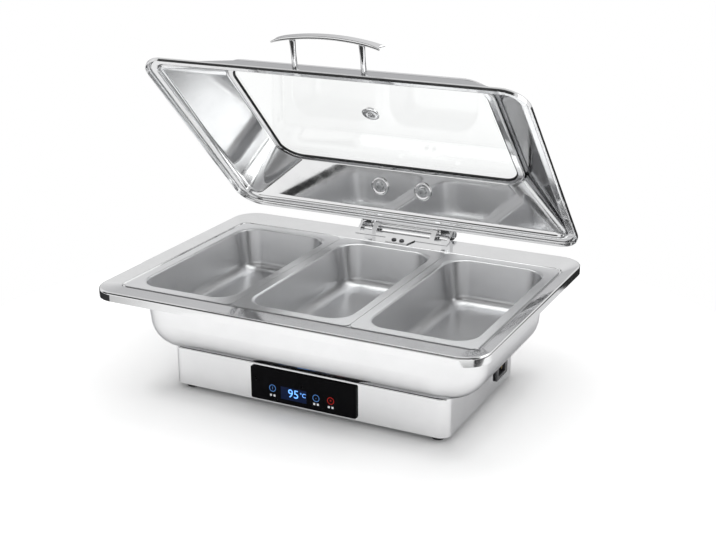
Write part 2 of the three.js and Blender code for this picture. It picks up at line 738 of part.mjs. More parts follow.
// Body: one sheet from the well's floor, up its wall, over the ledge, step and border to the crown and lip.
const ledge = { length: LEDGE_LENGTH, depth: LEDGE_DEPTH, corner: LEDGE_CORNER, z: LEDGE_Z };
const crown = { length: CROWN_LENGTH, depth: CROWN_DEPTH, corner: CROWN_CORNER, z: CROWN_Z };
const step = grown(ledge, RIM_STEP_RUN, RIM_STEP_RISE);
const BORDER_SLOPE = Math.atan2(crown.z - step.z, (crown.depth - step.depth) / 2);
const studPlaces = [-STUD_PITCH / 2, STUD_PITCH / 2];
const hingeStripY = CROWN_DEPTH / 2 - HINGE_PLATE_Y;
const hingeStripZ = CROWN_Z - HINGE_PLATE_Y * Math.tan(BORDER_SLOPE);
const onBorder = new THREE.Matrix4()
  .makeTranslation(0, hingeStripY, hingeStripZ)
  .multiply(new THREE.Matrix4().makeRotationX(BORDER_SLOPE));
const hingeScrewPlaces = [-HINGE_SCREW_PITCH / 2, HINGE_SCREW_PITCH / 2];

function bodyShell() {
  const floor = grown({ ...wellLow, z: WELL_FLOOR_Z }, -WELL_BEND);
  const wallTop = { ...wellTop, z: LEDGE_Z - LEDGE_BEND };
  const lipTop = bend(crown, CROWN_RADIUS, 1, -1, true);
  const lipEnd = { ...lipTop.at(-1), z: lipTop.at(-1).z - LIP_DROP };
  const shell = loft(
    sheetRings(
      [
        floor,
        ...bend(floor, WELL_BEND, 1, 1, true),
        wallTop,
        ...bend(wallTop, LEDGE_BEND, 1, 1, false, EDGE_STEPS),
        ledge,
        step,
        crown,
        ...lipTop,
        lipEnd,
      ],
      SHEET,
    ),
    false,
  );
  const stud = rod(STUD_RADIUS, BASE_HEIGHT - STUD_DROP, BASE_HEIGHT + SEAT_GAP + EMBED);
  const studs = studPlaces.map((x) => placed(stud, x, 0, 0));
  const hole = rod(HINGE_SCREW_RADIUS + SEAT_GAP, -OVERRUN, OVERRUN);
  const holes = hingeScrewPlaces.map((x) => placed(hole, x, HINGE_SCREW_Y, 0).applyMatrix4(onBorder));
  return cut(join(shell, ...studs), ...holes);
}
node(dish, "body_shell", bodyShell(), POLISHED);

// Heater: a plate against the well's floor, a bent element under it, and a bar on two studs that clamps both.
const HEATER_TOP = BASE_HEIGHT;
const HEATER_BOTTOM = HEATER_TOP - HEATER_PLATE;
const ELEMENT_Z = HEATER_BOTTOM - SEAT_GAP - ELEMENT_RADIUS;
const CLAMP_TOP = ELEMENT_Z - ELEMENT_RADIUS - SEAT_GAP;
const CLAMP_BOTTOM = CLAMP_TOP - CLAMP_THICKNESS;
const ELEMENT_Y = -ELEMENT_TAIL / 2;
const studHoles = studPlaces.map((x) => circle(x, 0, STUD_RADIUS + STUD_GAP));

const heatingPlate = plate(HEATER_LENGTH, HEATER_DEPTH, HEATER_CORNER, HEATER_PLATE, studHoles);
node(dish, "heating_plate", heatingPlate, ALUMINIUM).position.set(0, 0, HEATER_BOTTOM);

const elementRear = ELEMENT_Y + ELEMENT_DEPTH / 2;
const elementFront = ELEMENT_Y - ELEMENT_DEPTH / 2;
const elementRoute = route(
  [
    [-ELEMENT_GAP / 2, elementRear + ELEMENT_TAIL, 0],
    [-ELEMENT_GAP / 2, elementRear, 0],
    [-ELEMENT_LENGTH / 2, elementRear, 0],
    [-ELEMENT_LENGTH / 2, elementFront, 0],
    [ELEMENT_LENGTH / 2, elementFront, 0],
    [ELEMENT_LENGTH / 2, elementRear, 0],
    [ELEMENT_GAP / 2, elementRear, 0],
    [ELEMENT_GAP / 2, elementRear + ELEMENT_TAIL, 0],
  ],
  ELEMENT_BEND,
);
const element = swept(elementRoute, circle(0, 0, ELEMENT_RADIUS, LEAD_SIDES), ELEMENT_STEPS);
node(dish, "heating_element", element, DARK_STEEL).position.set(0, 0, ELEMENT_Z);

const clampBar = plate(CLAMP_LENGTH, CLAMP_WIDTH, CLAMP_CORNER, CLAMP_THICKNESS, studHoles);
node(dish, "heater_clamp_bar", clampBar, PLAIN_STEEL).position.set(0, 0, CLAMP_BOTTOM);
const nut = cut(
  rod(NUT_RADIUS, -NUT_HEIGHT, 0, HEX_SIDES),
  rod(STUD_RADIUS + SEAT_GAP, -NUT_HEIGHT - OVERRUN, OVERRUN),
);
["left", "right"].forEach((side, i) => {
  const mesh = node(dish, `heater_nut_${side}`, nut, BRASS);
  mesh.position.set(studPlaces[i], 0, CLAMP_BOTTOM - SEAT_GAP);
});

// Thermal cut-out and temperature probe, both against the heating plate.
const thermalCutout = turned([
  [0, -CUTOUT_HEIGHT],
  [CUTOUT_CAP_RADIUS, -CUTOUT_HEIGHT],
  [CUTOUT_CAP_RADIUS, -CUTOUT_CAP],
  [CUTOUT_RADIUS, -CUTOUT_CAP],
  [CUTOUT_RADIUS, 0],
  [0, 0],
], ROUND_SIDES);
node(dish, "thermal_cutout", thermalCutout, BLACK_PLASTIC).position.set(0, CUTOUT_Y, HEATER_BOTTOM - SEAT_GAP);
const probe = turned([
  [0, -PROBE_HEIGHT],
  [PROBE_RADIUS / 2, -PROBE_HEIGHT],
  [PROBE_RADIUS, -PROBE_HEIGHT + PROBE_RADIUS],
  [PROBE_RADIUS, 0],
  [0, 0],
]);
node(dish, "temperature_probe", probe, BRASS).position.set(PROBE_X, CUTOUT_Y, HEATER_BOTTOM - SEAT_GAP);

// Touch panel: glass on the case's front, and behind it a tray with the board, display and key springs.
const upright = new THREE.Matrix4().makeRotationX(Math.PI / 2);
const touchGlass = plate(GLASS_PANEL_LENGTH, GLASS_PANEL_HEIGHT, GLASS_PANEL_CORNER, GLASS_PANEL);
touchGlass.applyMatrix4(upright);
node(dish, "touch_glass", touchGlass, BLACK_GLASS).position.set(0, FRONT_Y - SEAT_GAP, PANEL_Z);

const TRAY_LENGTH = GLASS_PANEL_LENGTH - 2 * TRAY_MARGIN;
const TRAY_HEIGHT = GLASS_PANEL_HEIGHT - 2 * TRAY_MARGIN;
const TRAY_FRONT = FRONT_Y + SHEET + SEAT_GAP;
const boardFace = FRONT_Y + SHEET + BOARD_BACK;
function controlTray() {
  const halfLength = TRAY_LENGTH / 2;
  const halfHeight = TRAY_HEIGHT / 2;
  const outer = block(
    [-halfLength, TRAY_FRONT, PANEL_Z - halfHeight],
    [halfLength, TRAY_FRONT + TRAY_DEPTH, PANEL_Z + halfHeight],
  );
  const hollow = block(
    [-halfLength + TRAY_WALL, TRAY_FRONT - OVERRUN, PANEL_Z - halfHeight + TRAY_WALL],
    [halfLength - TRAY_WALL, TRAY_FRONT + TRAY_DEPTH - TRAY_WALL, PANEL_Z + halfHeight - TRAY_WALL],
  );
  return cut(outer, hollow);
}
node(dish, "control_tray", controlTray(), WHITE_PLASTIC);

const boardInset = TRAY_WALL + SEAT_GAP;
const controlBoard = block(
  [-TRAY_LENGTH / 2 + boardInset, boardFace, PANEL_Z - TRAY_HEIGHT / 2 + boardInset],
  [TRAY_LENGTH / 2 - boardInset, boardFace + BOARD, PANEL_Z + TRAY_HEIGHT / 2 - boardInset],
);
node(dish, "control_board", controlBoard, BOARD_GREEN);
const displayModule = block(
  [DISPLAY_X - DISPLAY_LENGTH / 2, FRONT_Y, DISPLAY_Z - DISPLAY_HEIGHT / 2],
  [DISPLAY_X + DISPLAY_LENGTH / 2, boardFace - SEAT_GAP, DISPLAY_Z + DISPLAY_HEIGHT / 2],
);
node(dish, "display_module", displayModule, BLACK_PLASTIC);
const keyLength = boardFace - SEAT_GAP - FRONT_Y;
const keySpring = turned([
  [0, 0],
  [KEY_RADIUS, 0],
  [KEY_RADIUS, KEY_FLANGE],
  [KEY_CORE_RADIUS, KEY_FLANGE],
  [KEY_CORE_RADIUS, keyLength - KEY_FLANGE],
  [KEY_RADIUS, keyLength - KEY_FLANGE],
  [KEY_RADIUS, keyLength],
  [0, keyLength],
]).rotateX(-Math.PI / 2);
for (const [name, [x, z]] of Object.entries(KEY_PLACES))
  node(dish, `touch_spring_${name}`, keySpring, PLAIN_STEEL).position.set(x, FRONT_Y, z);

// Power inlet: a flanged socket with cut corners, and three blades through its floor.
const INLET_FACE_X = SIDE_X + SEAT_GAP + INLET_FLANGE;
const INLET_BACK_X = SIDE_X + SEAT_GAP - INLET_BODY_DEPTH;
const SOCKET_FLOOR_X = INLET_FACE_X - INLET_SOCKET_DEPTH;
const bladePlaces = {
  live: [-PIN_PITCH / 2, -PIN_ROW_DROP],
  earth: [0, PIN_EARTH_RISE],
  neutral: [PIN_PITCH / 2, -PIN_ROW_DROP],
};
const blade = (margin, from, to) =>
  block(
    [from, -PIN_THICKNESS / 2 - margin, -PIN_WIDTH / 2 - margin],
    [to, PIN_THICKNESS / 2 + margin, PIN_WIDTH / 2 + margin],
  );
function inletHousing() {
  const flange = plate(INLET_FLANGE_LENGTH, INLET_FLANGE_HEIGHT, INLET_FLANGE_CORNER, INLET_FLANGE)
    .applyMatrix4(facingRight)
    .translate(SIDE_X + SEAT_GAP, 0, 0);
  const body = block(
    [INLET_BACK_X, -INLET_BODY_LENGTH / 2, -INLET_BODY_HEIGHT / 2],
    [SIDE_X + SEAT_GAP + EMBED, INLET_BODY_LENGTH / 2, INLET_BODY_HEIGHT / 2],
  );
  const halfLength = INLET_SOCKET_LENGTH / 2;
  const halfHeight = INLET_SOCKET_HEIGHT / 2;
  const outline = [
    [-halfLength, -halfHeight],
    [halfLength, -halfHeight],
    [halfLength, halfHeight - INLET_CHAMFER],
    [halfLength - INLET_CHAMFER, halfHeight],
    [-halfLength + INLET_CHAMFER, halfHeight],
    [-halfLength, halfHeight - INLET_CHAMFER],
  ];
  const depth = INLET_SOCKET_DEPTH + OVERRUN;
  const socket = web(outline, depth, SOCKET_FLOOR_X + depth / 2);
  const slots = Object.values(bladePlaces).map(([y, z]) =>
    placed(blade(SEAT_GAP, INLET_BACK_X - OVERRUN, SOCKET_FLOOR_X + OVERRUN), 0, y, z),
  );
  return placed(cut(join(flange, body), socket, ...slots), 0, INLET_Y, INLET_Z);
}
node(dish, "power_inlet", inletHousing(), BLACK_PLASTIC);
for (const [name, [y, z]] of Object.entries(bladePlaces)) {
  const pin = blade(0, INLET_BACK_X - PIN_TAB, SOCKET_FLOOR_X + PIN_LENGTH);
  node(dish, `inlet_pin_${name}`, pin, BRASS).position.set(0, INLET_Y + y, INLET_Z + z);
}

// Power board on its standoffs, with a relay and a transformer.
const POWER_BOARD_Z = BOTTOM_PLATE + STANDOFF_HEIGHT + SEAT_GAP;
const PARTS_Z = POWER_BOARD_Z + BOARD + SEAT_GAP;
const powerBoard = block(
  [-POWER_BOARD_LENGTH / 2, -POWER_BOARD_DEPTH / 2, 0],
  [POWER_BOARD_LENGTH / 2, POWER_BOARD_DEPTH / 2, BOARD],
);
node(dish, "power_board", powerBoard, BOARD_GREEN).position.set(POWER_BOARD_X, POWER_BOARD_Y, POWER_BOARD_Z);
const onBoard = (name, geometry, [x, y], material) =>
  node(dish, name, geometry, material).position.set(POWER_BOARD_X + x, POWER_BOARD_Y + y, PARTS_Z);
const upBlock = ([x, y, z]) => block([-x / 2, -y / 2, 0], [x / 2, y / 2, z]);
onBoard("power_relay", upBlock(RELAY), RELAY_PLACE, BLACK_PLASTIC);
const coil = upBlock(TRANSFORMER);
onBoard("transformer", join(coil, upBlock(TRANSFORMER_CORE)), TRANSFORMER_PLACE, BRASS);

// Leads inside the base, each in one sleeve: inlet to board, board to element, and the display's ribbon.
const leadOutline = circle(0, 0, LEAD_RADIUS, LEAD_SIDES);
const leadStartX = INLET_BACK_X - PIN_TAB - SEAT_GAP;
const boardEdgeX = POWER_BOARD_X - POWER_BOARD_LENGTH / 2;
const leadZ = PARTS_Z + LEAD_RADIUS;
const mainsLeadY = INLET_Y + TRANSFORMER[1] / 2;
const mainsLead = route(
  [
    [leadStartX, INLET_Y, INLET_Z],
    [leadStartX - LEAD_RUN, INLET_Y, INLET_Z],
    [leadStartX - LEAD_RUN, mainsLeadY, leadZ],
    [POWER_BOARD_X + POWER_BOARD_LENGTH / 2 - LEAD_ON_BOARD, mainsLeadY, leadZ],
  ],
  LEAD_BEND,
);
node(dish, "mains_lead", swept(mainsLead, leadOutline, LEAD_STEPS), WHITE_PLASTIC);
const elementEnd = elementRear + ELEMENT_TAIL + SEAT_GAP;
const heaterLeadY = elementEnd + LEAD_RADIUS;
const heaterLead = route(
  [
    [ELEMENT_GAP / 2, heaterLeadY, ELEMENT_Z],
    [ELEMENT_GAP / 2 + LEAD_BEND, heaterLeadY, ELEMENT_Z],
    [boardEdgeX - LEAD_RUN, heaterLeadY, leadZ],
    [boardEdgeX + LEAD_ON_BOARD, heaterLeadY, leadZ],
  ],
  LEAD_BEND,
);
node(dish, "heater_lead", swept(heaterLead, leadOutline, LEAD_STEPS), WHITE_PLASTIC);
const trayBack = TRAY_FRONT + TRAY_DEPTH + SEAT_GAP;
const ribbonFrontY = trayBack + RIBBON_THICKNESS / 2;
const ribbonEndY = POWER_BOARD_Y - POWER_BOARD_DEPTH / 2 + LEAD_ON_BOARD;
const ribbonZ = PARTS_Z + RIBBON_THICKNESS;
const ribbon = web(
  [
    [trayBack, PANEL_Z],
    [ribbonFrontY + RIBBON_THICKNESS, PANEL_Z],
    [ribbonFrontY + RIBBON_THICKNESS, ribbonZ],
    [ribbonEndY, ribbonZ],
    [ribbonEndY, ribbonZ - RIBBON_THICKNESS],
    [trayBack, ribbonZ - RIBBON_THICKNESS],
  ],
  RIBBON_WIDTH,
  TRAY_LENGTH / 2 - RIBBON_WIDTH / 2,
);
node(dish, "display_ribbon", ribbon, WHITE_PLASTIC);

// Hinge on the rear border: a plate with a screwed tab, two inner ears for the barrel and two outer ones for
// the shaft.
const BARREL_END = BARREL_LENGTH / 2;
const INNER_EAR_X = BARREL_END - EAR_INSET - EAR_WIDTH / 2;
const KNUCKLE_X = BARREL_END + SHAFT_GAP + KNUCKLE_WIDTH / 2;
const OUTER_EAR_X = KNUCKLE_X + KNUCKLE_WIDTH / 2 + SHAFT_GAP + OUTER_EAR_WIDTH / 2;
const HINGE_HALF = OUTER_EAR_X + OUTER_EAR_WIDTH / 2;
const crownArcZ = CROWN_Z - CROWN_RADIUS;

function hingeBase() {
  const strip = block(
    [-HINGE_HALF, -HINGE_PLATE_FRONT, SEAT_GAP],
    [HINGE_HALF, HINGE_PLATE_BACK, SEAT_GAP + HINGE_PLATE],
  );
  const tabShape = new THREE.Shape(
    [
      [-TAB_WIDTH / 2, 0],
      [-TAB_END_WIDTH / 2, -TAB_REACH],
      [TAB_END_WIDTH / 2, -TAB_REACH],
      [TAB_WIDTH / 2, 0],
    ].map(([x, y]) => new THREE.Vector2(x, y)),
  );
  const tab = new THREE.ExtrudeGeometry(tabShape, { depth: HINGE_PLATE, bevelEnabled: false });
  const hole = rod(HINGE_SCREW_RADIUS + SEAT_GAP, -OVERRUN, OVERRUN);
  const flat = cut(
    join(strip, tab.translate(0, 0, SEAT_GAP)),
    ...hingeScrewPlaces.map((x) => placed(hole, x, HINGE_SCREW_Y, 0)),
  ).applyMatrix4(onBorder);
  const footZ = (y) => hingeStripZ + (y - hingeStripY) * Math.tan(BORDER_SLOPE) + SEAT_GAP + HINGE_PLATE / 2;
  const back = hingeStripY + HINGE_PLATE_BACK - HINGE_PLATE;
  const front = back - EAR_FOOT;
  const outline = (radius) =>
    belt([
      [PIVOT_Y, PIVOT_Z, radius],
      [front, footZ(front), EAR_FOOT_ROUND],
      [back, footZ(back), EAR_FOOT_ROUND],
    ]);
  const ears = [-1, 1].flatMap((side) => [
    web(outline(EAR_RADIUS), EAR_WIDTH, side * INNER_EAR_X),
    web(outline(KNUCKLE_RADIUS), OUTER_EAR_WIDTH, side * OUTER_EAR_X),
  ]);
  const barrelBore = alongX(rod(BARREL_RADIUS + SEAT_GAP, -EAR_WIDTH, EAR_WIDTH, ROUND_SIDES));
  const shaftBore = alongX(rod(SHAFT_RADIUS + SHAFT_GAP, -OUTER_EAR_WIDTH, OUTER_EAR_WIDTH));
  const bores = [-1, 1].flatMap((side) => [
    placed(barrelBore, side * INNER_EAR_X, PIVOT_Y, PIVOT_Z),
    placed(shaftBore, side * OUTER_EAR_X, PIVOT_Y, PIVOT_Z),
  ]);
  const reach = HINGE_HALF + OVERRUN;
  const overCrown = alongX(rod(CROWN_RADIUS + 2 * SEAT_GAP, -reach, reach, ROUND_SIDES));
  const underBorder = block([-reach, -TAB_REACH, -EAR_RADIUS], [reach, HINGE_PLATE_Y, SEAT_GAP]);
  return cut(
    join(flat, ...ears),
    ...bores,
    overCrown.translate(0, CROWN_DEPTH / 2, crownArcZ),
    underBorder.applyMatrix4(onBorder),
  );
}
node(dish, "hinge_base_plate", hingeBase(), POLISHED);

const hingeScrew = turned([
  [0, -HINGE_SCREW_REACH],
  [HINGE_SCREW_RADIUS, -HINGE_SCREW_REACH],
  [HINGE_SCREW_RADIUS, 0],
  [HINGE_SCREW_HEAD_RADIUS, 0],
  [HINGE_SCREW_HEAD_RADIUS, HINGE_SCREW_HEAD / 2],
  [HINGE_SCREW_HEAD_RADIUS / 2, HINGE_SCREW_HEAD],
  [0, HINGE_SCREW_HEAD],
]);
["left", "right"].forEach((side, i) => {
  const screw = placed(hingeScrew, hingeScrewPlaces[i], HINGE_SCREW_Y, 2 * SEAT_GAP + HINGE_PLATE);
  node(dish, `hinge_screw_${side}`, screw.applyMatrix4(onBorder), DARK_STEEL);
});

const barrel = alongX(turned([
  [SHAFT_RADIUS + SHAFT_GAP, -BARREL_END],
  [BARREL_COLLAR_RADIUS, -BARREL_END],
  [BARREL_COLLAR_RADIUS, BARREL_COLLAR - BARREL_END],
  [BARREL_RADIUS, BARREL_COLLAR - BARREL_END],
  [BARREL_RADIUS, BARREL_END - BARREL_COLLAR],
  [BARREL_COLLAR_RADIUS, BARREL_END - BARREL_COLLAR],
  [BARREL_COLLAR_RADIUS, BARREL_END],
  [SHAFT_RADIUS + SHAFT_GAP, BARREL_END],
  [SHAFT_RADIUS + SHAFT_GAP, -BARREL_END],
], ROUND_SIDES));
node(dish, "hinge_barrel", barrel, POLISHED).position.set(0, PIVOT_Y, PIVOT_Z);
const shaftReach = HINGE_HALF + SEAT_GAP;
const shaft = alongX(turned([
  [0, -shaftReach - SHAFT_HEAD],
  [SHAFT_HEAD_RADIUS, -shaftReach - SHAFT_HEAD],
  [SHAFT_HEAD_RADIUS, -shaftReach],
  [SHAFT_RADIUS, -shaftReach],
  [SHAFT_RADIUS, shaftReach],
  [SHAFT_HEAD_RADIUS, shaftReach],
  [SHAFT_HEAD_RADIUS, shaftReach + SHAFT_HEAD],
  [0, shaftReach + SHAFT_HEAD],
]));
node(dish, "hinge_shaft", shaft, PLAIN_STEEL).position.set(0, PIVOT_Y, PIVOT_Z);

// Lid: everything below is placed as if it were closed, in a group that turns about the hinge's shaft.
const lidPivot = new THREE.Group();
lidPivot.position.set(0, PIVOT_Y, PIVOT_Z);
lidPivot.rotation.x = -THREE.MathUtils.degToRad(LID_OPEN_DEG);
dish.add(lidPivot);
const lid = new THREE.Group();
lid.position.set(0, -PIVOT_Y, LID_Z - PIVOT_Z);
lidPivot.add(lid);

const lidEdge = { length: LID_LENGTH, depth: LID_DEPTH, corner: LID_CORNER };
const inset = (by, z) => grown(lidEdge, -by, z);
const BEAD_INSET = LID_BEAD_RUN + LID_BEAD_BACK;
const FLANGE_INSET = BEAD_INSET + LID_FLANGE / 2;
const STEP_INSET = BEAD_INSET + LID_FLANGE;
const WALL_INSET = STEP_INSET + LID_STEP_RUN;
const WALL_Z = LID_FLANGE_Z + LID_STEP_RISE;
const shoulder = { length: SHOULDER_LENGTH, depth: SHOULDER_DEPTH, corner: SHOULDER_CORNER, z: SHOULDER_Z };
const crest = grown(shoulder, -CREST_RUN, CREST_RISE);
const recess = grown(crest, -CREST_RUN);
const LEDGE_TOP = crest.z - RECESS_DROP;
const wallFoot = { y: LID_DEPTH / 2 - WALL_INSET, z: WALL_Z };
const wallHead = { y: SHOULDER_DEPTH / 2, z: SHOULDER_Z };
const WALL_ANGLE = Math.atan2(wallHead.z - wallFoot.z, wallFoot.y - wallHead.y);
// A frame on the sloping front or rear wall: its Z points out of the wall and its X stays X.
function onWall(side, share) {
  const y = wallFoot.y + share * (wallHead.y - wallFoot.y);
  const z = wallFoot.z + share * (wallHead.z - wallFoot.z);
  return new THREE.Matrix4()
    .makeTranslation(0, side * y, z)
    .multiply(new THREE.Matrix4().makeRotationX(-side * WALL_ANGLE));
}
const handleFrame = onWall(-1, HANDLE_WALL_SHARE);
const bracketFrame = onWall(1, BRACKET_WALL_SHARE);
const postPlaces = [-HANDLE_POST_PITCH / 2, HANDLE_POST_PITCH / 2];
const boltPlaces = [-BOLT_PITCH / 2, BOLT_PITCH / 2];

function lidShell() {
  const profile = [
    inset(0, 0),
    inset(0, LID_LIP),
    inset(LID_BEAD_RUN / 2, LID_LIP + LID_BEAD_SHARE * LID_BEAD_RISE),
    inset(LID_BEAD_RUN, LID_LIP + LID_BEAD_RISE),
    inset(BEAD_INSET, LID_FLANGE_Z),
    inset(STEP_INSET, LID_FLANGE_Z),
    { ...inset(WALL_INSET, WALL_Z), corner: WALL_CREASE_CORNER },
    shoulder,
    crest,
    recess,
    { ...recess, z: LEDGE_TOP },
    { length: WINDOW_LENGTH, depth: WINDOW_DEPTH, corner: WINDOW_CORNER, z: LEDGE_TOP },
  ];
  const shell = loft(sheetRings(profile, -SHEET), true);
  const postHole = rod(HANDLE_SCREW_RADIUS + SEAT_GAP, -OVERRUN, OVERRUN);
  const boltHole = rod(BOLT_RADIUS + SEAT_GAP, -OVERRUN, OVERRUN);
  return cut(
    shell,
    ...postPlaces.map((x) => placed(postHole, x, 0, 0).applyMatrix4(handleFrame)),
    ...boltPlaces.map((x) => placed(boltHole, x, BOLT_OFFSET, 0).applyMatrix4(bracketFrame)),
  );
}
node(lid, "lid_shell", lidShell(), POLISHED);

// Window: glass in a channel gasket on the recess's ledge.
const GASKET_BOTTOM = LEDGE_TOP + SEAT_GAP;
const GLASS_BOTTOM = GASKET_BOTTOM + GASKET_LIP + SEAT_GAP;
const GLASS_TOP = GLASS_BOTTOM + GLASS;
const fromRecess = (by, z) => ({ ...grown(recess, -by), z });
const gasketOut = 2 * SEAT_GAP;
const channel = gasketOut + GASKET_WALL;
const lowerLip = recess.length / 2 - WINDOW_LENGTH / 2 + GASKET_OVERHANG;
const upperLip = channel + GASKET_COVER;
const GASKET_TOP = GLASS_TOP + SEAT_GAP + GASKET_LIP;
const gasket = loft(
  [
    fromRecess(gasketOut, GASKET_BOTTOM),
    fromRecess(gasketOut, GASKET_TOP),
    fromRecess(upperLip, GASKET_TOP),
    fromRecess(upperLip, GASKET_TOP - GASKET_LIP),
    fromRecess(channel, GASKET_TOP - GASKET_LIP),
    fromRecess(channel, GASKET_BOTTOM + GASKET_LIP),
    fromRecess(lowerLip, GASKET_BOTTOM + GASKET_LIP),
    fromRecess(lowerLip, GASKET_BOTTOM),
  ].map(ring),
  true,
);
node(lid, "window_gasket", gasket, RUBBER);

const ventHole = circle(0, VENT_Y, VENT_BARREL_RADIUS + SEAT_GAP, ROUND_SIDES);
const pane = fromRecess(channel + SEAT_GAP, 0);
const glass = plate(pane.length, pane.depth, pane.corner, GLASS, [ventHole]);
node(lid, "window_glass", glass, CLEAR_GLASS).position.set(0, 0, GLASS_BOTTOM);

// Steam vent: a dished eyelet through the glass, and the cap screwed over it outside.
const ventFlangeZ = GLASS_BOTTOM - SEAT_GAP;
const eyelet = turned([
  [VENT_BORE_RADIUS, ventFlangeZ - VENT_FLANGE + VENT_DISH],
  [VENT_BARREL_RADIUS, ventFlangeZ - VENT_FLANGE],
  [VENT_FLANGE_RADIUS - VENT_DISH, ventFlangeZ - VENT_FLANGE],
  [VENT_FLANGE_RADIUS, ventFlangeZ],
  [VENT_BARREL_RADIUS, ventFlangeZ],
  [VENT_BARREL_RADIUS, GLASS_TOP],
  [VENT_BORE_RADIUS, GLASS_TOP],
  [VENT_BORE_RADIUS, ventFlangeZ - VENT_FLANGE + VENT_DISH],
], ROUND_SIDES);
node(lid, "vent_eyelet", eyelet, POLISHED).position.set(0, VENT_Y, 0);
const ventCap = turned([
  [VENT_BORE_RADIUS, 0],
  [VENT_CAP_RADIUS, 0],
  [VENT_CAP_RADIUS, VENT_CAP - VENT_CAP_DOME],
  [VENT_CAP_RADIUS - 2 * VENT_CAP_DOME, VENT_CAP],
  [VENT_BORE_RADIUS, VENT_CAP],
  [VENT_BORE_RADIUS, 0],
], ROUND_SIDES);
node(lid, "vent_cap", ventCap, POLISHED).position.set(0, VENT_Y, GLASS_TOP + SEAT_GAP);

// Handle: on each of two feet, screwed to the front wall from inside, a turned post that leans forward; on
// the posts an arched bar.
const handle = new THREE.Group();
handle.applyMatrix4(handleFrame);
lid.add(handle);
const leaning = new THREE.Matrix4().makeRotationX(THREE.MathUtils.degToRad(HANDLE_LEAN_DEG));
const postStem = turned([
  [0, POST_FOOT / 2],
  [POST_RADIUS, POST_FOOT / 2],
  [POST_RADIUS, 2 * POST_FOOT],
  [POST_WAIST_RADIUS, POST_LENGTH / 2],
  [POST_RADIUS, POST_LENGTH - POST_FOOT],
  [POST_RADIUS, POST_LENGTH],
  [0, POST_LENGTH],
]).applyMatrix4(leaning);
const postFoot = turned([
  [0, SEAT_GAP],
  [POST_FOOT_RADIUS, SEAT_GAP],
  [POST_FOOT_RADIUS, POST_FOOT / 2],
  [POST_RADIUS, POST_FOOT],
  [0, POST_FOOT],
], ROUND_SIDES);
const post = cut(join(postFoot, postStem), rod(POST_HOLE_RADIUS, -OVERRUN, POST_HOLE_DEPTH));
const handleScrewSeat = -SHEET - SEAT_GAP;
const handleScrew = turned([
  [0, handleScrewSeat - HANDLE_SCREW_HEAD],
  [HANDLE_SCREW_HEAD_RADIUS / 2, handleScrewSeat - HANDLE_SCREW_HEAD],
  [HANDLE_SCREW_HEAD_RADIUS, handleScrewSeat - HANDLE_SCREW_HEAD / 2],
  [HANDLE_SCREW_HEAD_RADIUS, handleScrewSeat],
  [HANDLE_SCREW_RADIUS, handleScrewSeat],
  [HANDLE_SCREW_RADIUS, HANDLE_SCREW_REACH],
  [0, HANDLE_SCREW_REACH],
]);
["left", "right"].forEach((side, i) => {
  node(handle, `handle_post_${side}`, post, POLISHED).position.set(postPlaces[i], 0, 0);
  node(handle, `handle_screw_${side}`, handleScrew, PLAIN_STEEL).position.set(postPlaces[i], 0, 0);
});

// The bar's sections stand square to an arc; it flares and thins towards its ends, which are notched.
function handleBar() {
  const halfBar = BAR_LENGTH / 2;
  const arcRadius = (halfBar * halfBar + BAR_RISE * BAR_RISE) / (2 * BAR_RISE);
  const halfAngle = Math.asin(halfBar / arcRadius);
  const postAngle = Math.asin((HANDLE_POST_PITCH / 2 + POST_RADIUS) / arcRadius);
  const lowFace = POST_LENGTH + SEAT_GAP + arcRadius * (1 - Math.cos(postAngle));
  const rings = [];
  for (let k = 0; k <= BAR_STEPS; k++) {
    const share = (2 * k) / BAR_STEPS - 1;
    const flare = Math.max(0, (Math.abs(share) - 1 + 2 * BAR_FLARE_SHARE) / (2 * BAR_FLARE_SHARE)) ** 2;
    const width = BAR_WIDTH + flare * (BAR_END_WIDTH - BAR_WIDTH);
    const thickness = BAR_THICKNESS + flare * (BAR_END_THICKNESS - BAR_THICKNESS);
    const edge = BAR_EDGE_SHARE * thickness;
    const angle = share * halfAngle;
    const section = [
      [-width / 2, edge],
      [-width / 2 + edge, 0],
      [width / 2 - edge, 0],
      [width / 2, edge],
      [width / 2, thickness - edge],
      [width / 2 - edge, thickness],
      [-width / 2 + edge, thickness],
      [-width / 2, thickness - edge],
    ];
    rings.push(
      section.map(([across, up]) => {
        const reach = arcRadius + up;
        return [reach * Math.sin(angle), across, lowFace - arcRadius + reach * Math.cos(angle)];
      }),
    );
  }
  const notch = (side) => {
    const tip = side * (halfBar - BAR_NOTCH);
    const open = side * (halfBar + OVERRUN);
    const half = (BAR_NOTCH_MOUTH / 2) * (Math.abs(open - tip) / BAR_NOTCH);
    const shape = new THREE.Shape([
      new THREE.Vector2(tip, 0),
      new THREE.Vector2(open, -half),
      new THREE.Vector2(open, half),
    ]);
    const depth = POST_LENGTH + BAR_RISE;
    return new THREE.ExtrudeGeometry(shape, { depth, bevelEnabled: false }).translate(0, 0, POST_LENGTH / 2);
  };
  return cut(loft(rings, false), notch(-1), notch(1)).applyMatrix4(leaning);
}
node(handle, "handle_bar", handleBar(), POLISHED);

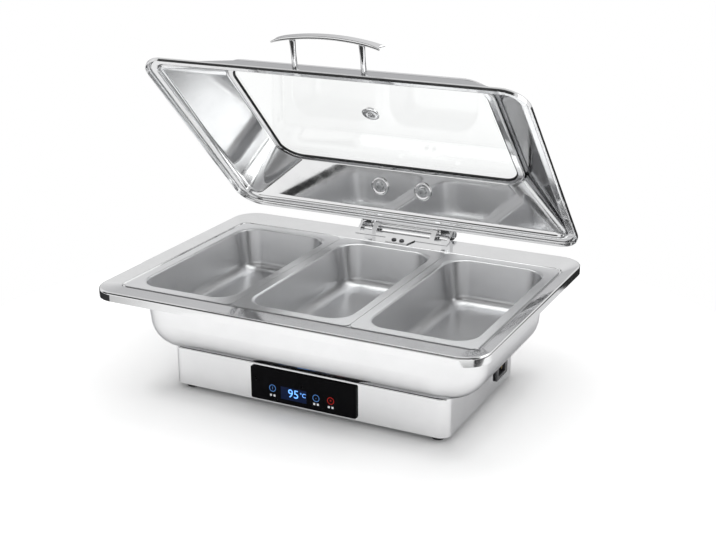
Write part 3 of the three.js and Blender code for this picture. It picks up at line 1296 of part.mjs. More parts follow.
// Hinge bracket: a plate on the rear wall, and two cranked arms that end in knuckles on the shaft.
function lidBracket() {
  const halfWidth = KNUCKLE_X + KNUCKLE_WIDTH / 2;
  const hole = rod(BOLT_RADIUS + SEAT_GAP, -OVERRUN, OVERRUN);
  const flat = cut(
    block(
      [-halfWidth, -BRACKET_SLOPE_LENGTH / 2, SEAT_GAP],
      [halfWidth, BRACKET_SLOPE_LENGTH / 2, SEAT_GAP + BRACKET_PLATE],
    ),
    ...boltPlaces.map((x) => placed(hole, x, BOLT_OFFSET, 0)),
  ).applyMatrix4(bracketFrame);
  const pivot = [PIVOT_Y, PIVOT_Z - LID_Z];
  const elbow = [PIVOT_Y + ARM_ELBOW_Y, pivot[1] + ARM_ELBOW_Z, ARM_ELBOW_RADIUS];
  const armEnd = SEAT_GAP + EMBED + ARM_END_RADIUS;
  const onPlate = new THREE.Vector3(0, BRACKET_SLOPE_LENGTH / 2 - ARM_END_INSET, armEnd);
  onPlate.applyMatrix4(bracketFrame);
  const end = [onPlate.y, onPlate.z, ARM_END_RADIUS];
  const arms = [-1, 1].flatMap((side) => [
    web(belt([[...pivot, KNUCKLE_RADIUS], elbow]), KNUCKLE_WIDTH, side * KNUCKLE_X),
    web(belt([elbow, end]), KNUCKLE_WIDTH, side * KNUCKLE_X),
  ]);
  const bores = [-1, 1].map((side) =>
    alongX(rod(SHAFT_RADIUS + SHAFT_GAP, -KNUCKLE_WIDTH, KNUCKLE_WIDTH)).translate(side * KNUCKLE_X, ...pivot),
  );
  return cut(join(flat, ...arms), ...bores);
}
node(lid, "hinge_lid_bracket", lidBracket(), POLISHED);

// Each hinge bolt goes from inside through a large washer and the wall into the bracket.
const bolts = new THREE.Group();
bolts.applyMatrix4(bracketFrame);
lid.add(bolts);
const washerTop = -SHEET - SEAT_GAP;
const washer = turned([
  [BOLT_RADIUS + SEAT_GAP, washerTop - WASHER],
  [WASHER_RADIUS - 2 * WASHER_RELIEF, washerTop - WASHER],
  [WASHER_RADIUS, washerTop - WASHER + WASHER_RELIEF],
  [WASHER_RADIUS, washerTop],
  [BOLT_RADIUS + SEAT_GAP, washerTop],
  [BOLT_RADIUS + SEAT_GAP, washerTop - WASHER],
], ROUND_SIDES);
const boltSeat = washerTop - WASHER - SEAT_GAP;
const bolt = turned([
  [0, boltSeat - BOLT_HEAD + BOLT_SOCKET],
  [BOLT_SOCKET_RADIUS, boltSeat - BOLT_HEAD + BOLT_SOCKET],
  [BOLT_SOCKET_RADIUS, boltSeat - BOLT_HEAD],
  [BOLT_HEAD_RADIUS / 2, boltSeat - BOLT_HEAD],
  [BOLT_HEAD_RADIUS, boltSeat - BOLT_HEAD / 2],
  [BOLT_HEAD_RADIUS, boltSeat],
  [BOLT_RADIUS, boltSeat],
  [BOLT_RADIUS, SEAT_GAP + BRACKET_PLATE + BOLT_REACH],
  [0, SEAT_GAP + BRACKET_PLATE + BOLT_REACH],
]);
["left", "right"].forEach((side, i) => {
  node(bolts, `hinge_washer_${side}`, washer, POLISHED).position.set(boltPlaces[i], BOLT_OFFSET, 0);
  node(bolts, `hinge_bolt_${side}`, bolt, PLAIN_STEEL).position.set(boltPlaces[i], BOLT_OFFSET, 0);
});

export default dish;
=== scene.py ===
"""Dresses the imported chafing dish: its sheet-metal shells, pans, window, handle, hinge and panel, and the studio."""

import json
import math
from collections import namedtuple

import bmesh
import bpy
from bpy.props import FloatProperty, FloatVectorProperty, IntProperty, PointerProperty, StringProperty
from bpy.types import Operator, Panel, PropertyGroup
from mathutils import Matrix, Vector

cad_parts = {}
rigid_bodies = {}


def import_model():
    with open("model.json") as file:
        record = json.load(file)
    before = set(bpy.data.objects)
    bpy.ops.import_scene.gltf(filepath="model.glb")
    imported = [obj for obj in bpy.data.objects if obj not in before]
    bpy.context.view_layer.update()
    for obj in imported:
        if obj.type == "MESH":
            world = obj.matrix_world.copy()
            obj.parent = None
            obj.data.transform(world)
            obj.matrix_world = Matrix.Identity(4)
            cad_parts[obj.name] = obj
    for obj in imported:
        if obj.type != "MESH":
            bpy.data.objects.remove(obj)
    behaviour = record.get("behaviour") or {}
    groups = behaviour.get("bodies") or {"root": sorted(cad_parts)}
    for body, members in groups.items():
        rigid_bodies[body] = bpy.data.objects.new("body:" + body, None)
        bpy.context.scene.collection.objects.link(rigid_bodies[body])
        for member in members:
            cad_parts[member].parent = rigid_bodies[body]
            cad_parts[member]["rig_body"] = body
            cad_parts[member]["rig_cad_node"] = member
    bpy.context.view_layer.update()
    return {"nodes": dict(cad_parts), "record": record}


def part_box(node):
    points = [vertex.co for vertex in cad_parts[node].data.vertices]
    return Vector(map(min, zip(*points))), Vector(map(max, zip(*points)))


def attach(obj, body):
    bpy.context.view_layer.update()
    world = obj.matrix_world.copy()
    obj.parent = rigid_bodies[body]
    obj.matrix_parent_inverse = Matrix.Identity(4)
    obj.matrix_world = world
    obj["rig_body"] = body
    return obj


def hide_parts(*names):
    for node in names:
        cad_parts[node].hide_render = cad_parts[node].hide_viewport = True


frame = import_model()

bl_info = {
    "name": "Chafing dish dresser",
    "version": (1, 0, 0),
    "blender": (4, 5, 0),
    "location": "3D View > Sidebar > Dish",
    "description": "Builds the finished surfaces of an electric chafing dish around its packed frame",
    "category": "Object",
}

SIDES = (("left", -1), ("right", 1))
GAP = 0.0003  # metres between two pieces that touch in the real dish
SHEET_EDGE = 0.00025  # rounding along the cut edges of the polished sheet
THIN_EDGE = 0.0002  # the same along those of the pans and the small turned pieces
FINE_EDGE = 0.00015  # and on the hinge's turned pieces
TINY = 1e-9  # a smaller change of size or place is none
MERGE = 1e-6  # points closer than this are one
FLAT_ANGLE = 0.6  # degrees between two faces that count as one flat
QUADRANTS = ((1, 1), (-1, 1), (-1, -1), (1, -1))
Ring = namedtuple("Ring", "length depth corner z")


# Sizes and colours that a user may change. Lengths are in metres, angles are given in degrees.


def length(name, description, default):
    return FloatProperty(name=name, description=description, default=default, unit="LENGTH", precision=5)


def turn_angle(name, description, default):
    return FloatProperty(
        name=name, description=description, default=math.radians(default), unit="ROTATION", subtype="ANGLE"
    )


def colour(name, description, default):
    return FloatVectorProperty(
        name=name, description=description, default=default, subtype="COLOR", size=3, min=0.0, max=1.0
    )


def amount(name, description, default, high=10.0):
    return FloatProperty(name=name, description=description, default=default, min=0.0, max=high, subtype="FACTOR")


class DishBodySizes(PropertyGroup):
    """The base box, and the deep-drawn body with its rim."""

    sheet: length("Sheet", "Thickness of the polished sheet", 0.001)
    corner_steps: IntProperty(name="Corner steps", description="Facets in each rounded corner", default=14, min=4)
    base_length: length("Base length", "Length of the base box", 0.423)
    base_depth: length("Base depth", "Depth of the base box", 0.249)
    base_height: length("Base height", "Height of the base box", 0.055)
    base_corner: length("Base corner", "Upright corner radius of the base box", 0.015)
    well_length: length("Well length", "Length of the well, inside", 0.5081)
    well_depth: length("Well depth", "Depth of the well, inside", 0.306)
    well_corner_high: length("Well corner, high", "Corner radius at the top of the well", 0.0445)
    well_corner_low: length("Well corner, low", "Corner radius low in the well", 0.05975)
    well_floor: length("Well floor", "Height of the well's floor", 0.0563)
    well_bend: length("Well bend", "Bend between the well's floor and wall", 0.041)
    ledge_length: length("Ledge length", "Length of the ledge that the pans lie on", 0.534)
    ledge_depth: length("Ledge depth", "Depth of the ledge", 0.331)
    ledge_corner: length("Ledge corner", "Corner radius of the ledge", 0.012)
    ledge_height: length("Ledge height", "Height of the ledge", 0.1493)
    step_rise: length("Step rise", "How far the border's foot stands over the ledge", 0.0022)
    step_run: length("Step run", "How far that step leans outward", 0.0014)
    rim_length: length("Rim length", "Length over the rim", 0.576)
    rim_depth: length("Rim depth", "Depth over the rim", 0.417)
    rim_corner: length("Rim corner", "Corner radius of the rim", 0.037)
    rim_height: length("Rim height", "Height of the rim's crown", 0.157)
    rim_roll: length("Rim roll", "Radius of the rim's outer roll", 0.004)
    lip_drop: length("Lip drop", "How far the lip hangs below the crown", 0.0125)


class DishPanSizes(PropertyGroup):
    """The water pan, and the three food pans in it."""

    sheet: length("Sheet", "Thickness of the pans' sheet", 0.0008)
    pitch: length("Pitch", "From one food pan to the next", 0.1762)
    width: length("Width", "Width of a food pan over its flange", 0.1757)
    depth: length("Depth", "Depth of a food pan over its flange", 0.325)
    corner: length("Corner", "Corner radius of the flange", 0.009)
    opening_width: length("Opening width", "Width of the opening", 0.1485)
    opening_depth: length("Opening depth", "Depth of the opening", 0.2926)
    opening_corner: length("Opening corner", "Corner radius of the opening", 0.033)
    taper: length("Taper", "How far each wall leans in by the floor", 0.007)
    edge: length("Edge", "Bend between flange and wall", 0.003)
    floor_bend: length("Floor bend", "Bend between wall and floor", 0.016)
    fall: length("Fall", "From the flange down to the floor", 0.065)
    height: length("Height", "Height of the flange", 0.1515)
    water_length: length("Water pan length", "Length of the water pan over its flange", 0.5281)
    water_fall: length("Water pan fall", "From its flange to its floor", 0.088)
    water_taper: length("Water pan taper", "How far its walls lean in by the floor", 0.004)
    water_bend: length("Water pan bend", "Bend between its wall and floor", 0.034)
    play: length("Play", "From the food pans to the water pan, at the sides", 0.0008)
    play_deep: length("Play, deep", "From the food pans to the water pan, front and rear", 0.0032)
    water_height: length("Water pan height", "Height of its flange", 0.1504)


class DishLidSizes(PropertyGroup):
    """The lid, drawn closed and then turned open about the hinge's shaft."""

    length: length("Length", "Length over the lid's edge", 0.566)
    depth: length("Depth", "Depth over the lid's edge", 0.384)
    corner: length("Corner", "Corner radius of the lid's edge", 0.036)
    seat: length("Seat", "Height of the closed lid's lower edge", 0.1575)
    shoulder_length: length("Shoulder length", "Length at the top of the sloping walls", 0.413)
    shoulder_depth: length("Shoulder depth", "Depth at the top of the sloping walls", 0.255)
    shoulder_corner: length("Shoulder corner", "Corner radius there", 0.041)
    shoulder_rise: length("Shoulder rise", "Height of the shoulder over the lid's edge", 0.057)
    window_length: length("Window length", "Length of the clear opening", 0.390)
    window_depth: length("Window depth", "Depth of the clear opening", 0.232)
    window_corner: length("Window corner", "Corner radius of the clear opening", 0.030)
    glass: length("Glass", "Thickness of the window glass", 0.004)
    pivot_y: length("Pivot, rearward", "The hinge shaft's place", 0.2145)
    pivot_z: length("Pivot, height", "The hinge shaft's height", 0.1635)
    open_angle: turn_angle("Open angle", "How far the lid stands open", 45.8)
    vent_y: length("Vent", "The vent's place from the lid's middle", -0.024)


class DishHandleSizes(PropertyGroup):
    """The handle on the lid's front wall."""

    pitch: length("Post pitch", "From one post to the other", 0.102)
    post: length("Post", "Length of a post", 0.044)
    lean: turn_angle("Lean", "How far the posts lean forward of square to the wall", 11.0)
    bar: length("Bar", "Length of the bar", 0.161)
    rise: length("Rise", "How far the bar's middle stands over its ends", 0.009)
    width: length("Width", "Width of the bar's middle", 0.012)
    end_width: length("End width", "Width of the bar's ends", 0.017)
    thickness: length("Thickness", "Thickness of the bar's middle", 0.0046)
    end_thickness: length("End thickness", "Thickness of the bar's ends", 0.0026)
    notch: length("Notch", "Depth of the notch in each end", 0.006)


class DishPanelSizes(PropertyGroup):
    """The touch panel and its lit marks."""

    length: length("Length", "Length of the glass", 0.163)
    height: length("Height", "Height of the glass", 0.048)
    corner: length("Corner", "Corner radius of the glass", 0.0025)
    glass: length("Glass", "Thickness of the glass", 0.003)
    face: length("Face", "Place of the glass's front face", -0.1278)
    middle: length("Middle", "Height of the glass's middle", 0.0275)
    ring: length("Ring", "Radius of the ring round each key", 0.0052)
    digits: length("Digits", "Height of the digits", 0.0125)
    reading: StringProperty(name="Reading", description="The number shown", default="95")


class DishColours(PropertyGroup):
    """Colours of the finishes."""

    polished_steel: colour("Polished steel", "Mirror-polished sheet", (0.93, 0.932, 0.936))
    satin_steel: colour("Satin steel", "The pans", (0.82, 0.824, 0.832))
    plain_steel: colour("Plain steel", "Zinc-plated small parts", (0.56, 0.57, 0.58))
    dark_steel: colour("Dark steel", "Blackened screws and the heating element", (0.05, 0.05, 0.052))
    aluminium: colour("Aluminium", "The cast heating plate", (0.62, 0.62, 0.61))
    brass: colour("Brass", "Nuts, probe and contact blades", (0.72, 0.53, 0.25))
    rubber: colour("Rubber", "Feet and window gasket", (0.012, 0.012, 0.013))
    black_plastic: colour("Black plastic", "The inlet's housing", (0.016, 0.016, 0.018))
    light_plastic: colour("Light plastic", "Tray, sleeves and ribbon", (0.72, 0.71, 0.67))
    circuit_board: colour("Circuit board", "Solder mask of the boards", (0.012, 0.10, 0.045))
    black_glass: colour("Black glass", "The touch panel", (0.0015, 0.0015, 0.002))
    lit_blue: colour("Lit blue", "Digits and blue rings", (0.16, 0.42, 1.0))
    lit_red: colour("Lit red", "The red ring", (0.85, 0.04, 0.03))
    floor: colour("Floor", "The studio's floor", (0.92, 0.92, 0.92))


class DishStudio(PropertyGroup):
    """Camera, lamps and background."""

    azimuth: turn_angle("Azimuth", "The camera's turn to the right of straight ahead", 26.78)
    elevation: turn_angle("Elevation", "The camera's height angle", 19.27)
    roll: turn_angle("Roll", "The camera's roll", -0.32)
    distance: length("Distance", "From the camera to the point it was set up on", 1.8039)
    aim_right: length("Aim right", "How far the view is moved to the right", 0.0188)
    aim_up: length("Aim up", "How far the view is moved up", 0.0106)
    aim_height: length("Aim height", "Height of the point it was set up on", 0.1515)
    lens: FloatProperty(name="Lens", description="Focal length", default=64.29, unit="CAMERA")
    floor_reach: length("Floor reach", "Radius of the round floor", 0.66)
    floor_glow: amount("Floor glow", "How far the floor is lifted towards white at its edge", 0.16)
    floor_mirrored: amount("Floor mirrored", "How much of that lift metal shows", 0.45)
    ambient: amount("Ambient", "Strength of the soft light all round", 0.4)
    room: amount("Room", "Brightness of the room round the dish, as metal shows it", 0.9)
    ambient_front: amount("Ambient, front", "Strength of the soft light from the front", 0.95)
    overhead: amount("Overhead", "Brightness of the ceiling, as metal shows it", 0.6)
    dark_front: amount("Dark front", "Brightness of the unlit front of the room, as metal shows it", 0.04)
    key: amount("Key", "Strength of the large lamp overhead", 32.0, 200.0)
    fill: amount("Fill", "Strength of the lamp at the right", 10.0, 200.0)


# Selecting and shaping, as by hand.


def object_mode():
    if bpy.context.object and bpy.context.object.mode != "OBJECT":
        bpy.ops.object.mode_set(mode="OBJECT")


def select(pieces):
    """Selects these objects and nothing else, and makes the first the active one."""
    object_mode()
    bpy.ops.object.select_all(action="DESELECT")
    for piece in pieces:
        piece.select_set(True)
    bpy.context.view_layer.objects.active = pieces[0]


def edit_all():
    """Opens the active object for editing, with all its points selected."""
    bpy.ops.object.mode_set(mode="EDIT")
    bpy.ops.mesh.select_mode(type="VERT")
    bpy.ops.mesh.select_all(action="SELECT")


def start(name):
    """Names the new primitive, and opens it for editing."""
    piece = bpy.context.object
    piece.name = name
    piece.data.name = piece.name
    select([piece])
    edit_all()
    return piece


def pick(test, kind="verts"):
    """Selects the points, or the edges, of the open mesh that pass the test."""
    mesh = bpy.context.object.data
    if kind == "edges":
        bpy.ops.mesh.select_mode(type="EDGE")
    bm = bmesh.from_edit_mesh(mesh)
    for part in getattr(bm, kind):
        part.select_set(test(part))
    bm.select_flush_mode()
    bmesh.update_edit_mesh(mesh, loop_triangles=False, destructive=False)


def runs_along(edge, axis):
    way = edge.verts[1].co - edge.verts[0].co
    return abs(way[axis]) > 0.9 * way.length


def apply_place(piece):
    select([piece])
    bpy.ops.object.transform_apply(location=True, rotation=True, scale=True)
    return piece


def moved(x, y, z=0.0):
    return Matrix.Translation((x, y, z))


def placed(piece, matrix):
    """Puts a piece drawn at the origin where the matrix says."""
    object_mode()
    piece.matrix_world = matrix @ piece.matrix_world
    return apply_place(piece)


def use(piece, kind, **settings):
    """Adds a modifier with these settings, and applies it."""
    select([piece])
    bpy.ops.object.modifier_add(type=kind)
    modifier = piece.modifiers[-1]
    for name, value in settings.items():
        setattr(modifier, name, value)
    bpy.ops.object.modifier_apply(modifier=modifier.name)


def soften(piece, width, steps=2, angle=40, weight=80):
    """Rounds the sharp edges, and shades the rest smooth with flats that stay flat."""
    use(piece, "BEVEL", width=width, segments=steps, limit_method="ANGLE", angle_limit=math.radians(angle))
    select([piece])
    bpy.ops.object.shade_smooth()
    use(piece, "WEIGHTED_NORMAL", mode="FACE_AREA", weight=weight, keep_sharp=True)


def close_up():
    """Merges the double points of the open mesh, and turns all its faces to the same side."""
    bpy.ops.mesh.select_all(action="SELECT")
    bpy.ops.mesh.remove_doubles(threshold=MERGE)
    bpy.ops.mesh.normals_make_consistent(inside=False)


def sheet_metal(piece, thickness):
    """Gives the drawn sheet its thickness, under the face that lies highest."""
    faces = bmesh.from_edit_mesh(piece.data).faces
    highest = max(faces, key=lambda face: (round(face.calc_center_median().z, 6), face.calc_area()))
    if highest.normal.z < 0:
        bpy.ops.mesh.flip_normals()
    apply_place(piece)
    use(piece, "SOLIDIFY", thickness=thickness, offset=-1, use_even_offset=True, use_quality_normals=True)
    return piece


# Rounded rectangles, ring by ring.

BEND_SPARE = 0.001  # a flat floor ends this far inside its bend
WALL_SPARE = 0.0002  # a wall starts this far over its bend
LEAST_CORNER = 0.0002


def grown(ring, by, up=0.0):
    """The ring that lies a little outside this one, or inside where the number is negative."""
    return Ring(ring.length + 2 * by, ring.depth + 2 * by, max(ring.corner + by, LEAST_CORNER), ring.z + up)


def around(inner, margin_x, margin_y, gap):
    """The outer of two nested rings, with the largest corners that keep the gap there."""
    total = margin_x + margin_y - gap
    extra = total + math.sqrt(total**2 - margin_x**2 - margin_y**2 + gap**2)
    return Ring(inner.length + 2 * margin_x, inner.depth + 2 * margin_y, inner.corner + extra, inner.z)


def bowl(floor, bend):
    """The profile of a bowl's floor and of the bend up from it."""
    return [(grown(floor, -bend - BEND_SPARE), 0), (floor, bend), (grown(floor, 0, bend + WALL_SPARE), 0)]


def rounded(points, steps=6):
    """Rings along a profile of (ring, reach): each bend starts its reach before the corner and ends as far after."""

    def run(a, b):
        return Vector(((b.depth - a.depth) / 2, b.z - a.z))

    def mix(a, b, share):
        return [x + (y - x) * share for x, y in zip(a, b)]

    rings = [points[0][0]]
    for (a, early), (b, late) in zip(points, points[1:]):
        if early + late > run(a, b).length:
            raise RuntimeError(f"the bends at {a} and {b} run into each other")
    for (a, _), (corner, reach), (b, _) in zip(points, points[1:], points[2:]):
        if reach <= 0:
            rings.append(corner)
            continue
        before, after = run(a, corner), run(corner, b)
        enter = mix(corner, a, reach / before.length)
        leave = mix(corner, b, reach / after.length)
        weight = math.cos(before.angle(after) / 2)
        for k in range(steps + 1):
            share = k / steps
            parts = ((1 - share) ** 2, 2 * share * (1 - share) * weight, share**2)
            columns = zip(enter, corner, leave)
            rings.append(Ring(*(sum(p * v for p, v in zip(parts, values)) / sum(parts) for values in columns)))
    rings.append(points[-1][0])
    return rings


def carry_corners(before, after):
    """Takes the selected ring of points from one rounded rectangle to the next, corner by corner."""
    points = bmesh.from_edit_mesh(bpy.context.object.data).verts
    ring = {point.index: (point.co.x > 0, point.co.y > 0) for point in points if point.select}
    centre_x = before.length / 2 - before.corner
    centre_y = before.depth / 2 - before.corner
    move_x = after.length / 2 - after.corner - centre_x
    move_y = after.depth / 2 - after.corner - centre_y
    scale = after.corner / before.corner
    for sx, sy in QUADRANTS:
        pick(lambda point: ring.get(point.index) == (sx > 0, sy > 0))
        if abs(scale - 1) > TINY:
            middle = (sx * centre_x, sy * centre_y, after.z)
            bpy.ops.transform.resize(value=(scale, scale, 1), center_override=middle)
        if abs(move_x) + abs(move_y) > TINY:
            bpy.ops.transform.translate(value=(sx * move_x, sy * move_y, 0))
    pick(lambda point: point.index in ring)


def draw_rings(name, rings, steps, floor=True, closed=False):
    """A sheet through the rings: a plane with rounded corners, whose edge is drawn out ring by ring."""
    first = rings[0]
    bpy.ops.mesh.primitive_plane_add(size=1, location=(0, 0, first.z))
    piece = start(name)
    bpy.ops.transform.resize(value=(first.length, first.depth, 1), center_override=(0, 0, first.z))
    bpy.ops.mesh.bevel(affect="VERTICES", offset=first.corner, segments=steps, profile=0.5, clamp_overlap=False)
    bpy.ops.mesh.select_all(action="SELECT")
    if not floor:
        bpy.ops.mesh.delete(type="ONLY_FACE")
        bpy.ops.mesh.select_all(action="SELECT")
    track = [*rings[1:], first] if closed else rings[1:]
    before = first
    for after in track:
        bpy.ops.mesh.extrude_edges_move(TRANSFORM_OT_translate={"value": (0, 0, after.z - before.z)})
        carry_corners(before, after)
        before = after
    close_up()
    return piece


def plate(name, ring, thickness, steps):
    """A flat plate that stands on the ring."""
    piece = draw_rings(name, [ring, ring._replace(z=ring.z + thickness)], steps)
    pick(lambda point: point.co.z > thickness / 2)
    bpy.ops.mesh.edge_face_add()
    close_up()
    return apply_place(piece)


def raised(profile, height):
    """A profile of (radius, z) points, moved up by a height."""
    return [(radius, height + z) for radius, z in profile]


def turned(name, profile, sides=48, hollow=False, edge=0.0):
    """A piece turned about Z along (radius, z) points, closed on itself where it is hollow, with its edges rounded."""
    radius, height = profile[0]
    fill = "NOTHING" if hollow else "NGON"
    bpy.ops.mesh.primitive_circle_add(vertices=sides, radius=radius, fill_type=fill, location=(0, 0, height))
    piece = start(name)
    draw_on = bpy.ops.mesh.extrude_edges_move if hollow else bpy.ops.mesh.extrude_region_move
    track = [*profile, profile[0]] if hollow else profile
    for (ra, za), (rb, zb) in zip(track, track[1:]):
        draw_on(TRANSFORM_OT_translate={"value": (0, 0, zb - za)})
        if abs(rb - ra) > TINY:
            bpy.ops.transform.resize(value=(rb / ra, rb / ra, 1), center_override=(0, 0, zb))
    close_up()
    apply_place(piece)
    if edge:
        soften(piece, edge)
    return piece


def block(name, low, high):
    """A box between two corners, open for editing."""
    centre = [(a + b) / 2 for a, b in zip(low, high)]
    bpy.ops.mesh.primitive_cube_add(size=1, location=centre, scale=[b - a for a, b in zip(low, high)])
    return start(name)


def cut(piece, cutter):
    """Takes the cutter out of the piece."""
    apply_place(cutter)
    use(piece, "BOOLEAN", operation="DIFFERENCE", solver="EXACT", object=cutter)
    bpy.data.objects.remove(cutter)


def joined(pieces):
    select(pieces)
    bpy.ops.object.join()
    return pieces[0]


def copy_of(piece, name, place):
    select([piece])
    bpy.ops.object.duplicate(linked=False)
    made = bpy.context.object
    made.name = name
    return placed(made, moved(*place))


def from_node(name, node, body, bevel, steps=2, angle=32, slot="polished_steel"):
    """Puts a merged copy of a CAD node's mesh, with its edges rounded, in the node's place."""
    select([frame["nodes"][node]])
    bpy.ops.object.duplicate(linked=False)
    piece = bpy.context.object
    piece.parent = None
    piece.matrix_world = Matrix.Identity(4)
    piece.name = name
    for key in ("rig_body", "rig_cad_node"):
        del piece[key]
    edit_all()
    bpy.ops.mesh.remove_doubles(threshold=2 * MERGE)
    bpy.ops.mesh.dissolve_limited(angle_limit=math.radians(FLAT_ANGLE))
    object_mode()
    soften(piece, bevel, steps, angle)
    done(piece, body, node, slot)


def finish_name(slot):
    """A name that the plain materials of the frame don't have."""
    return slot.replace("_", " ").capitalize()


def done(piece, body, node, slot="polished_steel"):
    """Gives the piece its finish, and has it ride on its body in place of its node."""
    object_mode()
    piece.data.materials.clear()
    piece.data.materials.append(bpy.data.materials[finish_name(slot)])
    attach(piece, body)
    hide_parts(node)


# Finishes.


class Web:
    """A node tree with short calls for its nodes and links."""

    def __init__(self, tree):
        self.tree = tree

    def node(self, kind, inputs=None, **settings):
        made = self.tree.nodes.new(kind)
        for name, value in settings.items():
            setattr(made, name, value)
        for name, value in (inputs or {}).items():
            if isinstance(value, bpy.types.NodeSocket):
                self.tree.links.new(value, made.inputs[name])
            else:
                made.inputs[name].default_value = value
        return made

    def maths(self, operation, a, b=0.0):
        return self.node("ShaderNodeMath", {0: a, 1: b}, operation=operation).outputs[0]

    def between(self, share, low, high):
        """A value that runs from low to high as the share runs from nought to one."""
        return self.node("ShaderNodeMix", {0: share, 2: low, 3: high}, data_type="FLOAT").outputs[0]

    def blend(self, share, first, second):
        """A colour that runs from the first to the second."""
        return self.node("ShaderNodeMix", {0: share, 6: first, 7: second}, data_type="RGBA").outputs[2]

    def ramp(self, value, low, high, to_low=0.0, to_high=1.0):
        ends = {"Value": value, "From Min": low, "From Max": high, "To Min": to_low, "To Max": to_high}
        return self.node("ShaderNodeMapRange", ends).outputs[0]

    def noise(self, vector, scale, detail=3.0, roughness=0.5):
        inputs = {"Vector": vector, "Scale": scale, "Detail": detail, "Roughness": roughness}
        return self.node("ShaderNodeTexNoise", inputs).outputs["Fac"]

    def mapped(self, scale=(1, 1, 1), rotation=(0, 0, 0)):
        place = self.node("ShaderNodeTexCoord").outputs["Object"]
        return self.node("ShaderNodeMapping", {"Vector": place, "Scale": scale, "Rotation": rotation}).outputs[0]

    def link(self, a, b):
        self.tree.links.new(a, b)


def effect(name, inputs, *outputs):
    """An empty shared effect: its web, the values that come in, and the sockets that go out."""
    tree = bpy.data.node_groups.new(name, "ShaderNodeTree")
    for label, default in inputs.items():
        kind = "NodeSocketColor" if isinstance(default, tuple) else "NodeSocketFloat"
        tree.interface.new_socket(name=label, in_out="INPUT", socket_type=kind).default_value = default
    for label in outputs:
        kind = "NodeSocketColor" if label == "Colour" else "NodeSocketFloat"
        tree.interface.new_socket(name=label, in_out="OUTPUT", socket_type=kind)
    web = Web(tree)
    return web, web.node("NodeGroupInput").outputs, web.node("NodeGroupOutput").inputs


def build_effects():
    web, given, out = effect("Sheet ripple", {"Size": 9.0, "Fine": 60.0}, "Height")
    broad = web.noise(web.mapped(), given["Size"], 1.0)
    fine = web.noise(web.mapped(), given["Fine"], 2.0)
    web.link(web.maths("ADD", broad, web.maths("MULTIPLY", fine, 0.12)), out["Height"])

    web, given, out = effect("Wiping marks", {"Least": 0.04, "Most": 0.12, "Size": 22.0}, "Roughness")
    cloud = web.noise(web.mapped(scale=(1, 1.6, 1.2)), given["Size"], 5.0, 0.62)
    hair = web.noise(web.mapped(scale=(40, 900, 300), rotation=(0.2, 0.1, 0.7)), 1.0, 2.0)
    share = web.maths("ADD", web.ramp(cloud, 0.42, 0.72), web.ramp(hair, 0.66, 0.8, 0.0, 0.6))
    web.link(web.between(share, given["Least"], given["Most"]), out["Roughness"])

    web, given, out = effect("Brushed grain", {"Least": 0.25, "Most": 0.4}, "Roughness", "Height")
    long_grain = web.noise(web.mapped(scale=(1600, 18, 90)), 1.0, 3.0, 0.6)
    cross_grain = web.noise(web.mapped(scale=(14, 1100, 70), rotation=(0.1, 0.0, 0.05)), 1.0, 2.0, 0.6)
    both = web.maths("ADD", long_grain, web.maths("MULTIPLY", cross_grain, 0.6))
    cloud = web.noise(web.mapped(), 16.0, 3.0)
    share = web.maths("ADD", web.ramp(both, 0.55, 1.05, 0.0, 0.7), web.ramp(cloud, 0.35, 0.7, 0.0, 0.4))
    web.link(web.between(share, given["Least"], given["Most"]), out["Roughness"])
    web.link(both, out["Height"])

    web, given, out = effect("Edge wear", {"Start": 0.52, "Full": 0.6, "Break up": 180.0}, "Mask")
    corner = web.node("ShaderNodeNewGeometry").outputs["Pointiness"]
    patchy = web.noise(web.mapped(), given["Break up"], 4.0, 0.7)
    edge = web.ramp(corner, given["Start"], given["Full"])
    web.link(web.maths("MULTIPLY", edge, web.ramp(patchy, 0.35, 0.62)), out["Mask"])

    web, given, out = effect("Moulded grain", {"Size": 1400.0}, "Height")
    cells = web.node("ShaderNodeTexVoronoi", {"Vector": web.mapped(), "Scale": given["Size"]})
    soft = web.noise(web.mapped(), 300.0, 3.0)
    web.link(web.maths("ADD", cells.outputs["Distance"], soft), out["Height"])

    tones = {"First": (0.5, 0.5, 0.5, 1), "Second": (0.6, 0.6, 0.6, 1), "Size": 30.0}
    web, given, out = effect("Two tones", tones, "Colour")
    share = web.ramp(web.noise(web.mapped(), given["Size"], 4.0, 0.6), 0.35, 0.65)
    web.link(web.blend(share, given["First"], given["Second"]), out["Colour"])


def shade(value, by):
    """A colour made darker or lighter."""
    return tuple(min(1.0, part * by) for part in value)


class Finish:
    """A material under construction: its constants sit on the shader, and effects are placed round it."""

    def __init__(self, slot, **constants):
        self.material = bpy.data.materials.new(finish_name(slot))
        self.material.use_nodes = True
        self.web = Web(self.material.node_tree)
        self.shader = self.material.node_tree.nodes["Principled BSDF"]
        for name, value in constants.items():
            self.shader.inputs[name.replace("_", " ")].default_value = value

    def feed(self, name, socket):
        """Links a value to the shader."""
        self.web.link(socket, self.shader.inputs[name])

    def add(self, effect_name, **values):
        """The outputs of a shared effect, given these values."""
        made = self.web.node("ShaderNodeGroup", node_tree=bpy.data.node_groups[effect_name])
        for name, value in values.items():
            made.inputs[name].default_value = (*value, 1) if hasattr(value, "__len__") else value
        return made.outputs

    def tones(self, first, by, size, target="Base Color"):
        """A colour that wanders between this one and a shade of it."""
        shown = self.add("Two tones", First=first, Second=shade(first, by), Size=size)["Colour"]
        self.feed(target, shown)
        return shown

    def marked(self, least, most, size):
        self.feed("Roughness", self.add("Wiping marks", Least=least, Most=most, Size=size)["Roughness"])

    def rippled(self, size, fine, strength):
        self.bump(self.add("Sheet ripple", Size=size, Fine=fine)["Height"], strength, 0.001)

    def bump(self, height, strength, distance):
        made = self.web.node("ShaderNodeBump", {"Strength": strength, "Distance": distance, "Height": height})
        self.feed("Normal", made.outputs["Normal"])


